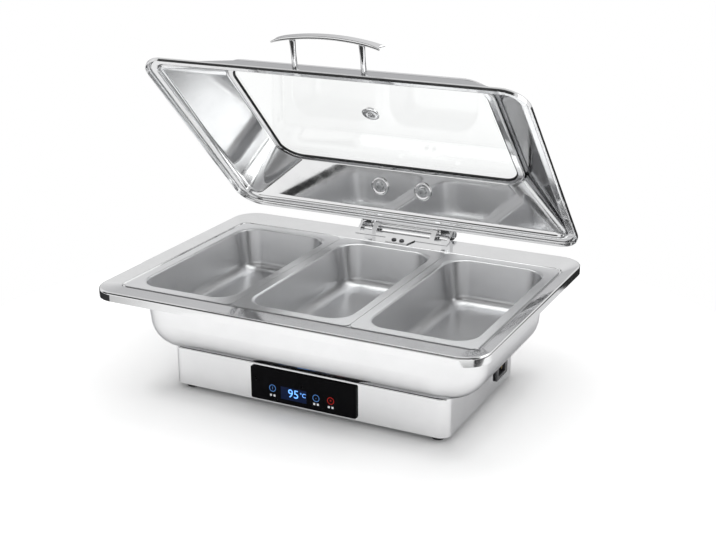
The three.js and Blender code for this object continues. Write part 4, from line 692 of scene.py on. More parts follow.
def make_finish(colours, slot, tones, marks, grain=None, worn=None, **constants):
    """A finish of two tones with wiping marks, and with moulded grain and bare worn edges where these are given."""
    finish = Finish(slot, **constants)
    base = finish.tones(getattr(colours, slot), *tones)
    if worn:
        bare = finish.web.blend(finish.add("Edge wear")["Mask"], base, (*worn, 1))
        finish.feed("Base Color", bare)
    finish.marked(*marks)
    if grain:
        size, strength, distance = grain
        finish.bump(finish.add("Moulded grain", Size=size)["Height"], strength, distance)
    return finish


class DISH_OT_finishes(Operator):
    """Makes every finish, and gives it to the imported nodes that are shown"""

    bl_idname = "dish.finishes"
    bl_label = "Finishes"

    def execute(self, context):
        chosen = context.scene.dish_colours
        build_effects()
        self.metals(chosen)
        self.others(chosen)

        slots = {row["slot"] for row in frame["record"]["materials"]}
        for name, piece in frame["nodes"].items():
            old = piece.material_slots[0].material.name.split(".")[0] if piece.material_slots else ""
            found = next((slot for slot in slots if slot in old), None)
            if name in ("control_board", "power_board"):
                found = "circuit_board"
            if not found:
                raise RuntimeError(f"no finish is known for {name}, which has {old!r}")
            piece.material_slots[0].material = bpy.data.materials[finish_name(found)]
        return {"FINISHED"}

    def metals(self, chosen):
        tint = (0.5, 0.5, 0.51, 1)
        marks = 0.045, 0.14, 24.0
        steel = make_finish(chosen, "polished_steel", (0.965, 26.0), marks, Metallic=1.0, Specular_Tint=tint)
        steel.rippled(8.0, 40.0, 0.15)

        satin = Finish("satin_steel", Metallic=1.0, Specular_Tint=(0.8, 0.8, 0.81, 1))
        satin.tones(chosen.satin_steel, 0.965, 9.0)
        grain = satin.add("Brushed grain", Least=0.29, Most=0.34)
        satin.feed("Roughness", grain["Roughness"])
        satin.bump(grain["Height"], 0.06, 0.00008)

        marks, grain, bare = (0.28, 0.5, 160.0), (900.0, 0.15, 0.0001), shade(chosen.plain_steel, 1.4)
        make_finish(chosen, "plain_steel", (0.8, 140.0), marks, grain, bare, Metallic=1.0)
        marks, grain = (0.3, 0.5, 120.0), (1500.0, 0.2, 0.0001)
        make_finish(chosen, "dark_steel", (1.7, 160.0), marks, grain, (0.3, 0.3, 0.31), Metallic=0.85)
        marks, grain = (0.42, 0.62, 90.0), (700.0, 0.5, 0.0003)
        make_finish(chosen, "aluminium", (0.82, 90.0), marks, grain, Metallic=1.0)
        make_finish(chosen, "brass", (0.75, 200.0), (0.2, 0.4, 180.0), worn=(0.9, 0.74, 0.42), Metallic=1.0)

    def others(self, chosen):
        marks, grain = (0.55, 0.8, 70.0), (1100.0, 0.3, 0.0001)
        make_finish(chosen, "rubber", (1.6, 90.0), marks, grain, (0.05, 0.05, 0.05))
        marks, grain = (0.38, 0.55, 60.0), (1300.0, 0.25, 0.0001)
        make_finish(chosen, "black_plastic", (1.4, 60.0), marks, grain, (0.07, 0.07, 0.075))
        marks, grain = (0.4, 0.58, 60.0), (1300.0, 0.2, 0.0001)
        make_finish(chosen, "light_plastic", (0.88, 50.0), marks, grain)
        marks = 0.03, 0.14, 34.0
        make_finish(chosen, "black_glass", (1.8, 40.0), marks, IOR=1.5, Specular_IOR_Level=0.05)

        tint = (0.985, 0.995, 0.99, 1)
        glass = Finish("clear_glass", Base_Color=tint, Transmission_Weight=1.0, IOR=1.3, Roughness=0.0)
        glass.rippled(5.0, 20.0, 0.03)
        web = glass.web
        clear = web.node("ShaderNodeBsdfTransparent", {"Color": (0.965, 0.975, 0.97, 1)})
        shadow = web.node("ShaderNodeLightPath").outputs["Is Shadow Ray"]
        mixed = web.node("ShaderNodeMixShader", {0: shadow, 1: glass.shader.outputs[0], 2: clear.outputs[0]})
        web.link(mixed.outputs[0], web.tree.nodes["Material Output"].inputs["Surface"])

        board = Finish("circuit_board")
        base = board.tones(chosen.circuit_board, 0.6, 300.0)
        web = board.web
        tracks = web.node("ShaderNodeTexBrick", {"Vector": web.mapped(), "Scale": 160.0, "Mortar Size": 0.03})
        shown = web.ramp(tracks.outputs["Fac"], 0.4, 0.6, 0.0, 0.5)
        board.feed("Base Color", web.blend(shown, base, (0.06, 0.28, 0.12, 1)))
        board.marked(0.3, 0.5, 90.0)
        board.bump(tracks.outputs["Fac"], 0.3, 0.0001)


# Pieces.

CUT_REACH = 0.01  # how far a cutter stands out of what it cuts
STUD_X = 0.06  # from the middle to each of the heater's studs
NEAR = 0.0001  # how close a point has to be to the place where it is picked
BASE_BEND, BASE_TOP = 0.0016, 0.014  # reach of the bend round the base's top, and width of the flange inside it
BASE_FLANGE_Z, BASE_FLANGE = 0.0028, (0.0009, 0.024)  # the flange at the base's lower edge, from rim to rim
# Near and far corner of the base's openings, but for the wall that each goes through.
PANEL_HOLE = (-0.0755, 0.0095), (0.0755, 0.0455)
INLET_HOLE = (0.0542, 0.01595), (0.0838, 0.03805)


class DISH_OT_base(Operator):
    """The polished base box, open below, with its openings for the panel and the inlet"""

    bl_idname = "dish.base"
    bl_label = "Base box"

    def execute(self, context):
        s = context.scene.dish_body
        low = Ring(s.base_length, s.base_depth, s.base_corner, 0.0)
        top = low._replace(z=s.base_height)
        box = rounded([(low, 0), (top, BASE_BEND), (grown(top, -BASE_TOP), 0)])
        flange = [grown(low, -inset, BASE_FLANGE_Z) for inset in BASE_FLANGE]
        piece = joined([
            sheet_metal(draw_rings(name, rings, s.corner_steps, floor=False), s.sheet)
            for name, rings in (("Base_box", box), ("Base_flange", flange))
        ])
        front, side = -s.base_depth / 2, s.base_length / 2
        reach = (-CUT_REACH, CUT_REACH)
        panel = [(x, front + out, z) for (x, z), out in zip(PANEL_HOLE, reach)]
        inlet = [(side + out, y, z) for (y, z), out in zip(INLET_HOLE, reach)]
        cut(piece, block("Panel_opening", *panel))
        cut(piece, block("Inlet_opening", *inlet))
        soften(piece, SHEET_EDGE)
        done(piece, "root", "base_shell")
        return {"FINISHED"}


class DISH_OT_body(Operator):
    """The deep-drawn body: well, ledge, sloping border, rolled rim and lip, with the heater's two studs"""

    bl_idname = "dish.body"
    bl_label = "Body"

    def execute(self, context):
        s = context.scene.dish_body
        low = Ring(s.well_length, s.well_depth, s.well_corner_low, s.well_floor)
        high = Ring(s.well_length, s.well_depth, s.well_corner_high, s.ledge_height)
        ledge = Ring(s.ledge_length, s.ledge_depth, s.ledge_corner, s.ledge_height)
        step = grown(ledge, s.step_run, s.step_rise)
        rim = Ring(s.rim_length, s.rim_depth, s.rim_corner, s.rim_height + 0.0005)
        lip = rim._replace(z=s.rim_height - s.lip_drop)
        border = [(ledge, 0.0008), (step, 0.0011), (rim, s.rim_roll), (lip, 0)]
        rings = rounded([*bowl(low, s.well_bend), (high, 0.002), *border], steps=8)
        piece = sheet_metal(draw_rings("Body", rings, s.corner_steps), s.sheet)
        soften(piece, SHEET_EDGE, angle=60)
        tip, top = s.base_height - 0.0185, s.well_floor - 0.0005
        profile = [(0.0018, tip), (0.0025, tip + 0.0007), (0.0025, top)]
        studs = [placed(turned("Stud", profile, 20), moved(way * STUD_X, 0)) for _, way in SIDES]
        done(joined([piece, *studs]), "root", "body_shell")
        return {"FINISHED"}


def draw_pan(name, flange, opening, floor, edge, bend, thickness, steps):
    """A deep-drawn pan: floor, leaning walls and a flat flange."""
    rings = rounded([*bowl(floor, bend), (opening, edge), (flange, 0)], 8)
    piece = sheet_metal(draw_rings(name, rings, steps), thickness)
    soften(piece, THIN_EDGE, angle=60)
    return piece


class DISH_OT_pans(Operator):
    """Three food pans, drawn once and copied, and the water pan they stand in"""

    bl_idname = "dish.pans"
    bl_label = "Pans"

    def execute(self, context):
        s = context.scene.dish_pans
        steps = context.scene.dish_body.corner_steps
        flange = Ring(s.width, s.depth, s.corner, s.height)
        opening = Ring(s.opening_width, s.opening_depth, s.opening_corner, s.height)
        floor = grown(opening, -s.taper, -s.fall)
        pan = draw_pan("Food_pan", flange, opening, floor, s.edge, s.floor_bend, s.sheet, steps)
        for name, shift in (("left", -s.pitch), ("middle", 0), ("right", s.pitch)):
            made = copy_of(pan, f"Food_pan_{name}", (shift, 0))
            done(made, f"{name}_pan", f"food_pan_{name}", "satin_steel")
        bpy.data.objects.remove(pan)

        def round_pans(one, height, more):
            outside = grown(one, s.sheet)
            outside = outside._replace(length=outside.length + 2 * s.pitch, z=height)
            return around(outside, s.play + more, s.play_deep + more, GAP)

        flange = Ring(s.water_length, s.depth, s.corner, s.water_height)
        opening = round_pans(opening, s.water_height, 0)
        floor = round_pans(floor, s.water_height - s.water_fall, s.taper - s.water_taper)
        pan = draw_pan("Water_pan", flange, opening, floor, 0.0019, s.water_bend, s.sheet, steps)
        done(pan, "water_pan", "water_pan", "satin_steel")
        return {"FINISHED"}


WALL_IN, WALL_UP = 0.0175, 0.012  # the foot of the lid's sloping walls, inside its edge and over it
LEDGE_DROP = 0.006  # from the lid's crest down to the ledge that its window lies on
# Lip, bead and flange of the lid: how far inside its edge, how high over it, and the reach of the bend there.
LID_EDGE = (
    (0.0, 0.005, 0.0012), (0.0015, 0.0071, 0.0008), (0.003, 0.0078, 0.0008), (0.0065, 0.0062, 0.0014),
    (0.015, 0.0062, 0.0018),
)


def on_lid(context, piece, node, slot="polished_steel"):
    """Turns a finished piece of the closed lid open about the hinge's shaft, and has it ride on the lid."""
    s = context.scene.dish_lid
    pivot = moved(0, s.pivot_y, s.pivot_z)
    placed(piece, pivot @ Matrix.Rotation(-s.open_angle, 4, "X") @ pivot.inverted())
    done(piece, "lid", node, slot)


def lid_rings(s):
    """The lid's shoulder and crest, and the recess that the gasket lies in."""
    shoulder = Ring(s.shoulder_length, s.shoulder_depth, s.shoulder_corner, s.seat + s.shoulder_rise)
    crest = grown(shoulder, -0.0019, 0.0036)
    recess = grown(crest, -0.0019)
    return shoulder, crest, recess


class DISH_OT_lid(Operator):
    """The lid's polished shell: lip, outer bead, flange, sloping walls, crest and the recess for the window"""

    bl_idname = "dish.lid"
    bl_label = "Lid shell"

    def execute(self, context):
        s = context.scene.dish_lid
        body = context.scene.dish_body
        edge = Ring(s.length, s.depth, s.corner, s.seat)
        shoulder, crest, recess = lid_rings(s)
        ledge = crest.z - LEDGE_DROP
        window = Ring(s.window_length, s.window_depth, s.window_corner, ledge)
        border = [(grown(edge, -inset, up), bend) for inset, up, bend in LID_EDGE]
        wall = grown(edge, -WALL_IN, WALL_UP)._replace(corner=0.019)
        top = [(shoulder, 0.0019), (crest, 0.001), (recess, 0.0008), (recess._replace(z=ledge), 0.0014), (window, 0)]
        rings = rounded([(edge, 0), *border, (wall, 0.003), *top])
        piece = sheet_metal(draw_rings("Lid_shell", rings, body.corner_steps, floor=False), body.sheet)
        soften(piece, SHEET_EDGE, angle=60)
        on_lid(context, piece, "lid_shell")
        return {"FINISHED"}


# Profiles of turned pieces, as (radius, height) points.
VENT_EYELET = (
    (0.003, -0.0009), (0.0045, -0.0016), (0.006, -0.002), (0.0105, -0.002), (0.0121, -0.0018), (0.013, -0.0009),
    (0.013, 0), (0.006, 0),
)
VENT_CAP = (
    (0.003, 0), (0.010, 0), (0.010, 0.0013), (0.0095, 0.002), (0.0082, 0.0026), (0.0045, 0.0026), (0.003, 0.0019),
)


class DISH_OT_window(Operator):
    """The window glass, the rubber gasket round it, and the steam vent through it"""

    bl_idname = "dish.window"
    bl_label = "Window"

    def execute(self, context):
        s = context.scene.dish_lid
        steps = context.scene.dish_body.corner_steps
        _, crest, recess = lid_rings(s)
        bed = 0.0015  # rubber under the glass, and over it
        low = crest.z - LEDGE_DROP + GAP
        glass_low = low + bed
        glass_top = glass_low + s.glass
        top = glass_top + bed
        lip = (recess.length - s.window_length) / 2 + 0.003
        section = (
            (0.0006, low), (0.0006, top - 0.0007), (0.0013, top), (0.0055, top), (0.0067, top - 0.0012),
            (0.0022, top - 0.0012), (0.0022, low + 0.0012), (lip, low + 0.0012), (lip - 0.0008, low),
        )
        rings = [grown(recess, -inset)._replace(z=z) for inset, z in section]
        gasket = draw_rings("Window_gasket", rings, steps, floor=False, closed=True)
        apply_place(gasket)
        soften(gasket, THIN_EDGE, angle=50)
        on_lid(context, gasket, "window_gasket", "rubber")

        glass = plate("Window_glass", grown(recess, -0.0025)._replace(z=glass_low), s.glass, steps)
        vent = moved(0, s.vent_y)
        hole = turned("Vent_hole", [(0.0063, glass_low - CUT_REACH), (0.0063, glass_top + CUT_REACH)])
        cut(glass, placed(hole, vent))
        soften(glass, 0.0006, 3)
        on_lid(context, glass, "window_glass", "clear_glass")

        neck = [(0.006, glass_top), (0.003, glass_top)]
        for name, profile in (
            ("eyelet", raised(VENT_EYELET, glass_low - GAP) + neck),
            ("cap", raised(VENT_CAP, glass_top + GAP)),
        ):
            piece = turned(f"Vent_{name}", profile, hollow=True, edge=THIN_EDGE)
            on_lid(context, placed(piece, vent), f"vent_{name}")
        return {"FINISHED"}


def on_wall(s, way, share):
    """A frame on the lid's front or rear wall, its Z out of the wall and its X along X."""
    foot = Vector((s.depth / 2 - WALL_IN, s.seat + WALL_UP))
    head = Vector((s.shoulder_depth / 2, s.seat + s.shoulder_rise))
    place = foot + (head - foot) * share
    angle = math.atan2(head.y - foot.y, foot.x - head.x)
    return moved(0, way * place.x, place.y) @ Matrix.Rotation(-way * angle, 4, "X")


POST_RADIUS = 0.0041  # at both ends
HANDLE_FOOT = ((0.0065, GAP), (0.0065, 0.0014), (0.0060, 0.0022), (0.0048, 0.0028), (POST_RADIUS, 0.0034))
HANDLE_STEM = (
    (POST_RADIUS, 0.0016), (POST_RADIUS, 0.006), (0.0038, 0.010), (0.0035, 0.016), (0.0034, 0.022),
    (0.0035, 0.030), (0.0038, 0.036), (POST_RADIUS, 0.041),
)
HANDLE_PLACE = 0.22  # share of the front wall's height
BAR_STEPS = 40  # lengthwise, an even number
BAR_TAIL = 0.28  # share of half the bar that flares


class DISH_OT_handle(Operator):
    """Two turned posts, and the arched bar on them that flares to a notched tail at each end"""

    bl_idname = "dish.handle"
    bl_label = "Handle"

    def execute(self, context):
        s = context.scene.dish_handle
        wall = on_wall(context.scene.dish_lid, -1, HANDLE_PLACE)
        leaning = Matrix.Rotation(s.lean, 4, "X")
        for name, way in SIDES:
            foot = turned(f"Handle_foot_{name}", HANDLE_FOOT)
            stem = turned(f"Handle_post_{name}", (*HANDLE_STEM, (POST_RADIUS, s.post)))
            post = joined([placed(stem, leaning), foot])
            soften(post, 0.0003, 3)
            placed(post, wall @ moved(way * s.pitch / 2, 0))
            on_lid(context, post, f"handle_post_{name}")

        radius = s.bar**2 / (8 * s.rise) + s.rise / 2
        post_edge = math.asin((s.pitch / 2 + POST_RADIUS) / radius)
        low = s.post + GAP + radius * (1 - math.cos(post_edge))
        half = s.bar / 2
        bar = block("Handle_bar", (-half, -s.width / 2, 0), (half, s.width / 2, s.thickness))
        for axis, cuts in ((0, BAR_STEPS - 1), (1, 1)):
            pick(lambda edge: runs_along(edge, axis), "edges")
            bpy.ops.mesh.subdivide(number_cuts=cuts)
        apply_place(bar)
        edit_all()
        for k in range(BAR_STEPS + 1):
            share = 2 * k / BAR_STEPS - 1
            x = share * half
            flare = max(0.0, (abs(share) - 1 + BAR_TAIL) / BAR_TAIL) ** 2
            glow_past_painted_shade = low + radius * (math.cos(math.asin(x / radius)) - 1)
            pick(lambda point: abs(point.co.x - x) < NEAR)
            width = 1 + flare * (s.end_width / s.width - 1)
            depth = 1 + flare * (s.end_thickness / s.thickness - 1)
            bpy.ops.transform.resize(value=(1, width, depth), center_override=(x, 0, 0))
            bpy.ops.transform.translate(value=(0, 0, glow_past_painted_shade))
            if k in (0, BAR_STEPS):
                pick(lambda point: abs(point.co.x - x) < NEAR and abs(point.co.y) < NEAR)
                bpy.ops.transform.translate(value=(-math.copysign(s.notch, x), 0, 0))
        soften(bar, 0.0012, 4, 50, 60)
        on_lid(context, placed(bar, wall @ leaning), "handle_bar")
        return {"FINISHED"}


def two_ended(half):
    """A profile whose right end mirrors its left one."""
    return half + [(radius, -z) for radius, z in reversed(half)]


BARREL_END = ((0.0033, 0), (0.0066, 0), (0.0072, 0.0006), (0.0072, 0.0034), (0.0066, 0.004), (0.0063, 0.0043))
BARREL_GROOVE = [(0.0063, -0.016), (0.0058, -0.0155), (0.0058, -0.0145), (0.0063, -0.014)]
SHAFT_END = ((0.0036, -0.0026), (0.0047, -0.0021), (0.005, -0.0014), (0.005, 0), (0.003, 0))
BARREL_HALF, SHAFT_HALF = 0.0585, 0.0774  # half their lengths, the shaft's without its heads
WASHER = (
    (0.0033, -0.0024), (0.0062, -0.0024), (0.0068, -0.0019), (0.0104, -0.0019), (0.0110, -0.0024),
    (0.0124, -0.0024), (0.0134, -0.0020), (0.014, -0.0014), (0.014, 0), (0.0033, 0),
)
BOLT_HEAD = ((0.0046, -0.0036), (0.0058, -0.0031), (0.0065, -0.0020), (0.0065, 0), (0.003, 0))
BOLT_END = [(0.003, 0.0058), (0.0026, 0.0063)]
WASHER_X, WASHER_Y, WASHER_TOP = 0.0355, -0.0045, -0.0013  # from the middle of the lid's rear wall, outside it


class DISH_OT_hinge(Operator):
    """The hinge: base with its ears, damper barrel, shaft, lid bracket, washers, bolts and tab screws"""

    bl_idname = "dish.hinge"
    bl_label = "Hinge"

    def execute(self, context):
        s = context.scene.dish_lid
        from_node("Hinge_base", "hinge_base_plate", "root", 0.0003)
        from_node("Hinge_bracket", "hinge_lid_bracket", "lid", 0.0003)
        across = moved(0, s.pivot_y, s.pivot_z) @ Matrix.Rotation(math.pi / 2, 4, "Y")
        profile = two_ended(raised(BARREL_END, -BARREL_HALF) + BARREL_GROOVE)
        barrel = turned("Hinge_barrel", profile, 64, hollow=True, edge=FINE_EDGE)
        done(placed(barrel, across), "root", "hinge_barrel")
        shaft = turned("Hinge_shaft", two_ended(raised(SHAFT_END, -SHAFT_HALF)), edge=0.00012)
        done(placed(shaft, across), "root", "hinge_shaft", "plain_steel")

        seat = WASHER_TOP + WASHER[0][1] - GAP
        for name, way in SIDES:
            place = on_wall(s, 1, 0.5) @ moved(way * WASHER_X, WASHER_Y)
            washer = turned(f"Hinge_washer_{name}", raised(WASHER, WASHER_TOP), 64, hollow=True, edge=FINE_EDGE)
            on_lid(context, placed(washer, place), f"hinge_washer_{name}")
            bolt = turned(f"Hinge_bolt_{name}", raised(BOLT_HEAD, seat) + BOLT_END)
            cut(bolt, turned("Socket", [(0.0027, seat - CUT_REACH), (0.0027, seat - 0.0016)], 6))
            soften(bolt, FINE_EDGE)
            on_lid(context, placed(bolt, place), f"hinge_bolt_{name}", "plain_steel")

        for name, _ in SIDES:
            from_node(f"Hinge_screw_{name}", f"hinge_screw_{name}", "root", 0.0002, angle=40, slot="dark_steel")
        return {"FINISHED"}


def lit(name, base, strength):
    """A glowing print, a little uneven as light through a mask is."""
    dark = (*shade(base, 0.2), 1)
    finish = Finish(name, Base_Color=dark, Roughness=0.35, Specular_IOR_Level=0.05, Emission_Strength=strength)
    finish.tones(base, 0.8, 420.0, "Emission Color")
    return finish.material


# Each key's sign and its place, to the right of the dish's middle and over the base's lower edge.
KEYS = {"power": ("I", -0.047, 0.0238), "down": ("-", 0.0208, 0.0222), "up": ("+", 0.0432, 0.0228)}
RING_WIDTH = 0.0008
SIGN_HEIGHT = 0.0042
MARK_SIZE, MARK_SHIFT, MARK_Z = 0.003, 0.0028, 0.0132  # two marks stand under each key
WINDOW_SIZE, WINDOW_PLACE = (0.040, 0.0185), (-0.014, 0.0200)  # the bluish field behind the reading
READING_PLACE, DEGREES_PLACE = (-0.0143, 0.0206), (0.0005, 0.0216)
PRINT = 0.00006  # thickness of a print on the glass
CAPITAL = 0.72  # height of a capital in a text of size one


class DISH_OT_panel_glass(Operator):
    """The black touch glass, with its lit rings, reading and plain signs"""

    bl_idname = "dish.panel_glass"
    bl_label = "Touch panel"

    def execute(self, context):
        s = context.scene.dish_panel
        chosen = context.scene.dish_colours
        facing = Matrix.Rotation(math.pi / 2, 4, "X")
        glass = plate("Touch_glass", Ring(s.length, s.height, s.corner, 0.0), s.glass, 8)
        soften(glass, 0.0004, 3)
        placed(glass, moved(0, s.face + s.glass, s.middle) @ facing)
        done(glass, "root", "touch_glass", "black_glass")

        blue = lit("lit_blue", chosen.lit_blue, 1.8)
        dim_blue = lit("lit_ring", chosen.lit_blue, 0.5)
        red = lit("lit_red", chosen.lit_red, 0.4)
        white = lit("lit_white", (0.8, 0.82, 0.85), 0.7)
        dim = lit("lit_window", (0.006, 0.012, 0.04), 0.9)
        face = moved(0, s.face) @ facing

        def print_on(piece, material, x, z, over=0.0):
            """Lays a print on the glass, or over another print."""
            object_mode()
            piece.data.materials.clear()
            piece.data.materials.append(material)
            placed(piece, face @ moved(x, z, over))
            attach(piece, "root")

        def bar(name, width, height):
            return apply_place(block(name, (-width / 2, -height / 2, 0), (width / 2, height / 2, PRINT)))

        def words(name, text, height):
            bpy.ops.object.text_add(location=(0, 0, 0))
            piece = bpy.context.object
            piece.name = name
            piece.data.body = text
            piece.data.size = height / CAPITAL
            piece.data.align_x = "CENTER"
            piece.data.align_y = "CENTER"
            piece.data.extrude = PRINT / 2
            piece.data.resolution_u = 4
            select([piece])
            bpy.ops.object.convert(target="MESH")
            return placed(bpy.context.object, moved(0, 0, PRINT / 2))

        print_on(bar("Reading_window", *WINDOW_SIZE), dim, *WINDOW_PLACE)
        inner = s.ring - RING_WIDTH
        band = ((s.ring, 0), (s.ring, PRINT), (inner, PRINT), (inner, 0))
        for name, (sign, x, z) in KEYS.items():
            material = red if name == "up" else dim_blue
            print_on(turned(f"Key_ring_{name}", band, hollow=True), material, x, z)
            print_on(words(f"Key_sign_{name}", sign, SIGN_HEIGHT), material, x, z)
        print_on(words("Reading", s.reading, s.digits), blue, *READING_PLACE, PRINT)
        print_on(words("Reading_degrees", "°C", s.digits / 2), blue, *DEGREES_PLACE, PRINT)
        for name, (_, x, _) in KEYS.items():
            for k, (_, way) in enumerate(SIDES):
                mark = bar(f"Key_mark_{name}_{k}", MARK_SIZE, MARK_SIZE)
                print_on(mark, white, x + way * MARK_SHIFT, MARK_Z)
        return {"FINISHED"}


FOOT = (
    (0.0024, 0), (0.0024, -0.004), (0.005, -0.004), (0.005, -0.008), (0.0074, -0.008), (0.0082, -0.0077),
    (0.0086, -0.0068), (0.0092, -0.0045), (0.0094, -0.0040), (0.0098, -0.0036), (0.010, -0.0004), (0.0098, 0),
)
FOOT_IN_X, FOOT_IN_Y = 0.0195, 0.0175  # from the base's sides, and from its front and rear


class DISH_OT_small_parts(Operator):
    """Feet, inlet and its blades"""

    bl_idname = "dish.small_parts"
    bl_label = "Feet and inlet"

    def execute(self, context):
        s = context.scene.dish_body
        foot = turned("Foot", raised(FOOT, -GAP), hollow=True, edge=THIN_EDGE)
        for across, sx in SIDES:
            for along, sy in (("front", -1), ("rear", 1)):
                place = sx * (s.base_length / 2 - FOOT_IN_X), sy * (s.base_depth / 2 - FOOT_IN_Y)
                done(copy_of(foot, f"Foot_{along}_{across}", place), "root", f"foot_{along}_{across}", "rubber")
        bpy.data.objects.remove(foot)
        from_node("Inlet_housing", "power_inlet", "root", 0.0004, 3, slot="black_plastic")
        for name in ("live", "earth", "neutral"):
            from_node(f"Inlet_blade_{name}", f"inlet_pin_{name}", "root", 0.0003, 3, slot="brass")
        return {"FINISHED"}


LAMP_AIM = Vector((0, 0, 0.15))
SOFT_EDGE = 0.04  # how far the edges of the room's zones fade, as a part of the unit direction


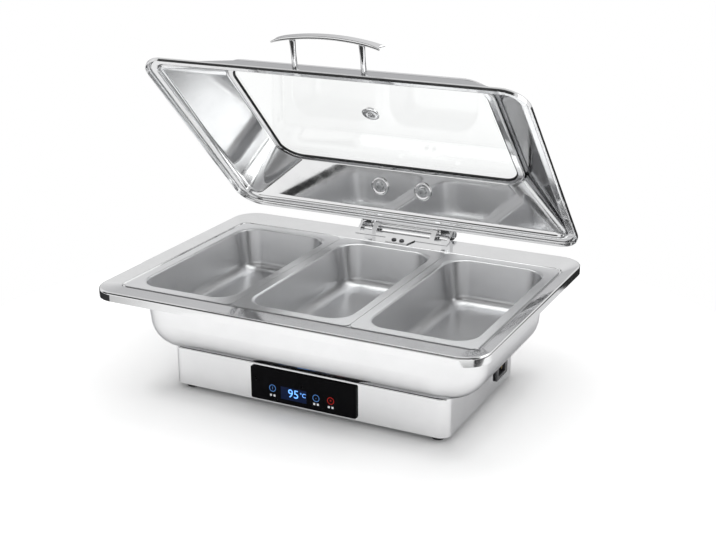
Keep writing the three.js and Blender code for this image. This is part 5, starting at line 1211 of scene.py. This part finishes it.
class DISH_OT_studio(Operator):
    """Camera, pale floor, soft lamps and white background"""

    bl_idname = "dish.studio"
    bl_label = "Studio"

    def execute(self, context):
        s = context.scene.dish_studio
        scene = context.scene
        object_mode()
        bpy.ops.object.select_all(action="DESELECT")
        scene.view_settings.view_transform = "Standard"
        self.camera(scene, s)
        self.floor(context, s)
        self.background(scene, s)
        self.lamp("Key lamp", (-0.2, 0.4, 3.0), 4.0, s.key, mirrored=False)
        self.lamp("Fill lamp", (2.2, 0.9, 1.7), 1.6, s.fill)
        return {"FINISHED"}

    def camera(self, scene, s):
        level = math.cos(s.elevation)
        back = Vector((math.sin(s.azimuth) * level, -math.cos(s.azimuth) * level, math.sin(s.elevation)))
        right = Vector((math.cos(s.azimuth), math.sin(s.azimuth), 0))
        up = back.cross(right)
        across = right * math.cos(s.roll) + up * math.sin(s.roll)
        upward = up * math.cos(s.roll) - right * math.sin(s.roll)
        place = Vector((0, 0, s.aim_height)) + across * s.aim_right + upward * s.aim_up + back * s.distance
        axes = Matrix((across, upward, back)).transposed().to_4x4()
        bpy.ops.object.camera_add()
        camera = bpy.context.object
        camera.name = "Camera"
        camera.matrix_world = Matrix.Translation(place) @ axes
        camera.data.lens = s.lens
        camera.data.sensor_width = 36
        camera.data.clip_end = 50
        scene.camera = camera

    def floor(self, context, s):
        """A round floor that glows towards white away from the base: the glow is withheld near the base, so a painted
        shade rings the base on top of its real shadow.
        """
        feet = min(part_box(f"foot_{place}")[0].z for place in ("front_left", "rear_right"))
        bpy.ops.mesh.primitive_circle_add(vertices=96, radius=s.floor_reach, fill_type="NGON", location=(0, 0, feet))
        floor = bpy.context.object
        floor.name = "Floor"
        apply_place(floor)
        finish = Finish("Floor", Roughness=0.85, Specular_IOR_Level=0.1, Emission_Color=(1, 1, 1, 1))
        finish.tones(context.scene.dish_colours.floor, 0.99, 3.0)
        web = finish.web
        path = web.node("ShaderNodeLightPath").outputs
        mirrored = web.maths("MULTIPLY", path["Is Glossy Ray"], s.floor_mirrored)
        seen = web.maths("ADD", path["Is Camera Ray"], mirrored)
        seen = web.maths("MINIMUM", web.maths("ADD", seen, path["Is Transmission Ray"]), 1.0)
        place = web.node("ShaderNodeSeparateXYZ", {0: web.mapped()}).outputs
        sizes = context.scene.dish_body
        beyond = [
            web.maths("MAXIMUM", web.maths("SUBTRACT", web.maths("ABSOLUTE", place[axis]), half), 0.0)
            for axis, half in (("X", sizes.base_length / 2), ("Y", sizes.base_depth / 2))
        ]
        clear = web.maths("SQRT", web.maths("ADD", *(web.maths("POWER", one, 2.0) for one in beyond)))
        # Painted shade: the floor's glow grows with the distance from the base's outline, so the floor stays darker
        # round the base, in the metal's reflections too.
        glow_past_painted_shade = web.maths("ADD", web.ramp(clear, 0.0, 0.05, 0.0, 0.22), web.ramp(clear, 0.05, 0.35, 0.0, s.floor_glow))
        finish.feed("Emission Strength", web.maths("MULTIPLY", seen, glow_past_painted_shade))
        floor.data.materials.append(finish.material)

    def background(self, scene, s):
        """White as the camera sees it, soft light for all else, and a room of pale and dark zones for metal."""
        world = bpy.data.worlds.new("Studio")
        scene.world = world
        world.use_nodes = True
        world.node_tree.nodes.clear()
        web = Web(world.node_tree)
        path = web.node("ShaderNodeLightPath").outputs
        seen = web.maths("ADD", path["Is Camera Ray"], path["Is Transmission Ray"])
        way = web.node("ShaderNodeSeparateXYZ", {0: web.node("ShaderNodeTexCoord").outputs["Generated"]})
        across, along, up = (way.outputs[axis] for axis in "XYZ")

        def zone(value, low, high):
            """One between the two bounds, with soft edges, and nought elsewhere."""
            rise = web.ramp(value, low, low + SOFT_EDGE)
            return web.maths("MULTIPLY", rise, web.ramp(value, high, high - SOFT_EDGE))

        ahead = web.ramp(along, -0.02, -0.08)
        bands = web.maths("MULTIPLY", ahead, web.maths("ADD", zone(up, 0.34, 0.62), zone(up, 0.76, 0.97)))
        beside = web.maths("MULTIPLY", zone(along, -0.6, -0.1), web.ramp(up, 0.0, 0.05))
        doorway = web.maths("MULTIPLY", web.ramp(across, -0.65, -0.55), web.ramp(along, -0.4, -0.5))
        doorway = web.maths("MULTIPLY", doorway, web.ramp(up, -0.42, -0.38))
        past_floor = web.maths("MULTIPLY", web.ramp(up, -0.10, -0.14), web.maths("SUBTRACT", 1.0, doorway))
        dark = web.maths("MAXIMUM", past_floor, web.maths("MAXIMUM", bands, beside))
        overhead = web.between(web.ramp(up, 0.5, 0.9), s.room, s.overhead)
        shown = web.between(dark, overhead, s.dark_front)
        soft = web.between(web.maths("MULTIPLY", ahead, web.ramp(up, 0.1, 0.3)), s.ambient, s.ambient_front)
        strength = web.between(path["Is Glossy Ray"], soft, shown)
        strength = web.between(web.maths("MINIMUM", seen, 1.0), strength, 1.0)
        light = web.node("ShaderNodeBackground", {"Color": (1, 1, 1, 1), "Strength": strength})
        web.node("ShaderNodeOutputWorld", {"Surface": light.outputs[0]})

    def lamp(self, name, place, size, power, mirrored=True):
        """A round lamp that shines on the dish."""
        bpy.ops.object.light_add(type="AREA", location=place)
        lamp = bpy.context.object
        lamp.name = name
        lamp.data.shape = "DISK"
        lamp.data.size = size
        lamp.data.energy = power
        lamp.visible_glossy = mirrored
        way = LAMP_AIM - Vector(place)
        lamp.rotation_euler = way.to_track_quat("-Z", "Y").to_euler()


GROUPS = {
    "dish_body": DishBodySizes,
    "dish_pans": DishPanSizes,
    "dish_lid": DishLidSizes,
    "dish_handle": DishHandleSizes,
    "dish_panel": DishPanelSizes,
    "dish_colours": DishColours,
    "dish_studio": DishStudio,
}
OPERATORS = (
    DISH_OT_finishes,
    DISH_OT_base,
    DISH_OT_body,
    DISH_OT_pans,
    DISH_OT_lid,
    DISH_OT_window,
    DISH_OT_handle,
    DISH_OT_hinge,
    DISH_OT_panel_glass,
    DISH_OT_small_parts,
    DISH_OT_studio,
)


class DISH_PT_sidebar(Panel):
    """Lists the pieces of the dish"""

    bl_idname = "DISH_PT_sidebar"
    bl_label = "Chafing dish"
    bl_space_type = "VIEW_3D"
    bl_region_type = "UI"
    bl_category = "Dish"

    def draw(self, context):
        for operator in OPERATORS:
            self.layout.operator(operator.bl_idname)


def register():
    for group in GROUPS.values():
        bpy.utils.register_class(group)
    for name, group in GROUPS.items():
        setattr(bpy.types.Scene, name, PointerProperty(type=group))
    for made in (*OPERATORS, DISH_PT_sidebar):
        bpy.utils.register_class(made)


def unregister():
    for made in (DISH_PT_sidebar, *reversed(OPERATORS)):
        bpy.utils.unregister_class(made)
    for name, group in reversed(GROUPS.items()):
        delattr(bpy.types.Scene, name)
        bpy.utils.unregister_class(group)


def main():
    register()
    for operator in OPERATORS:
        kind, name = operator.bl_idname.split(".")
        getattr(getattr(bpy.ops, kind), name)()
    object_mode()


if __name__ == "__main__":
    main()
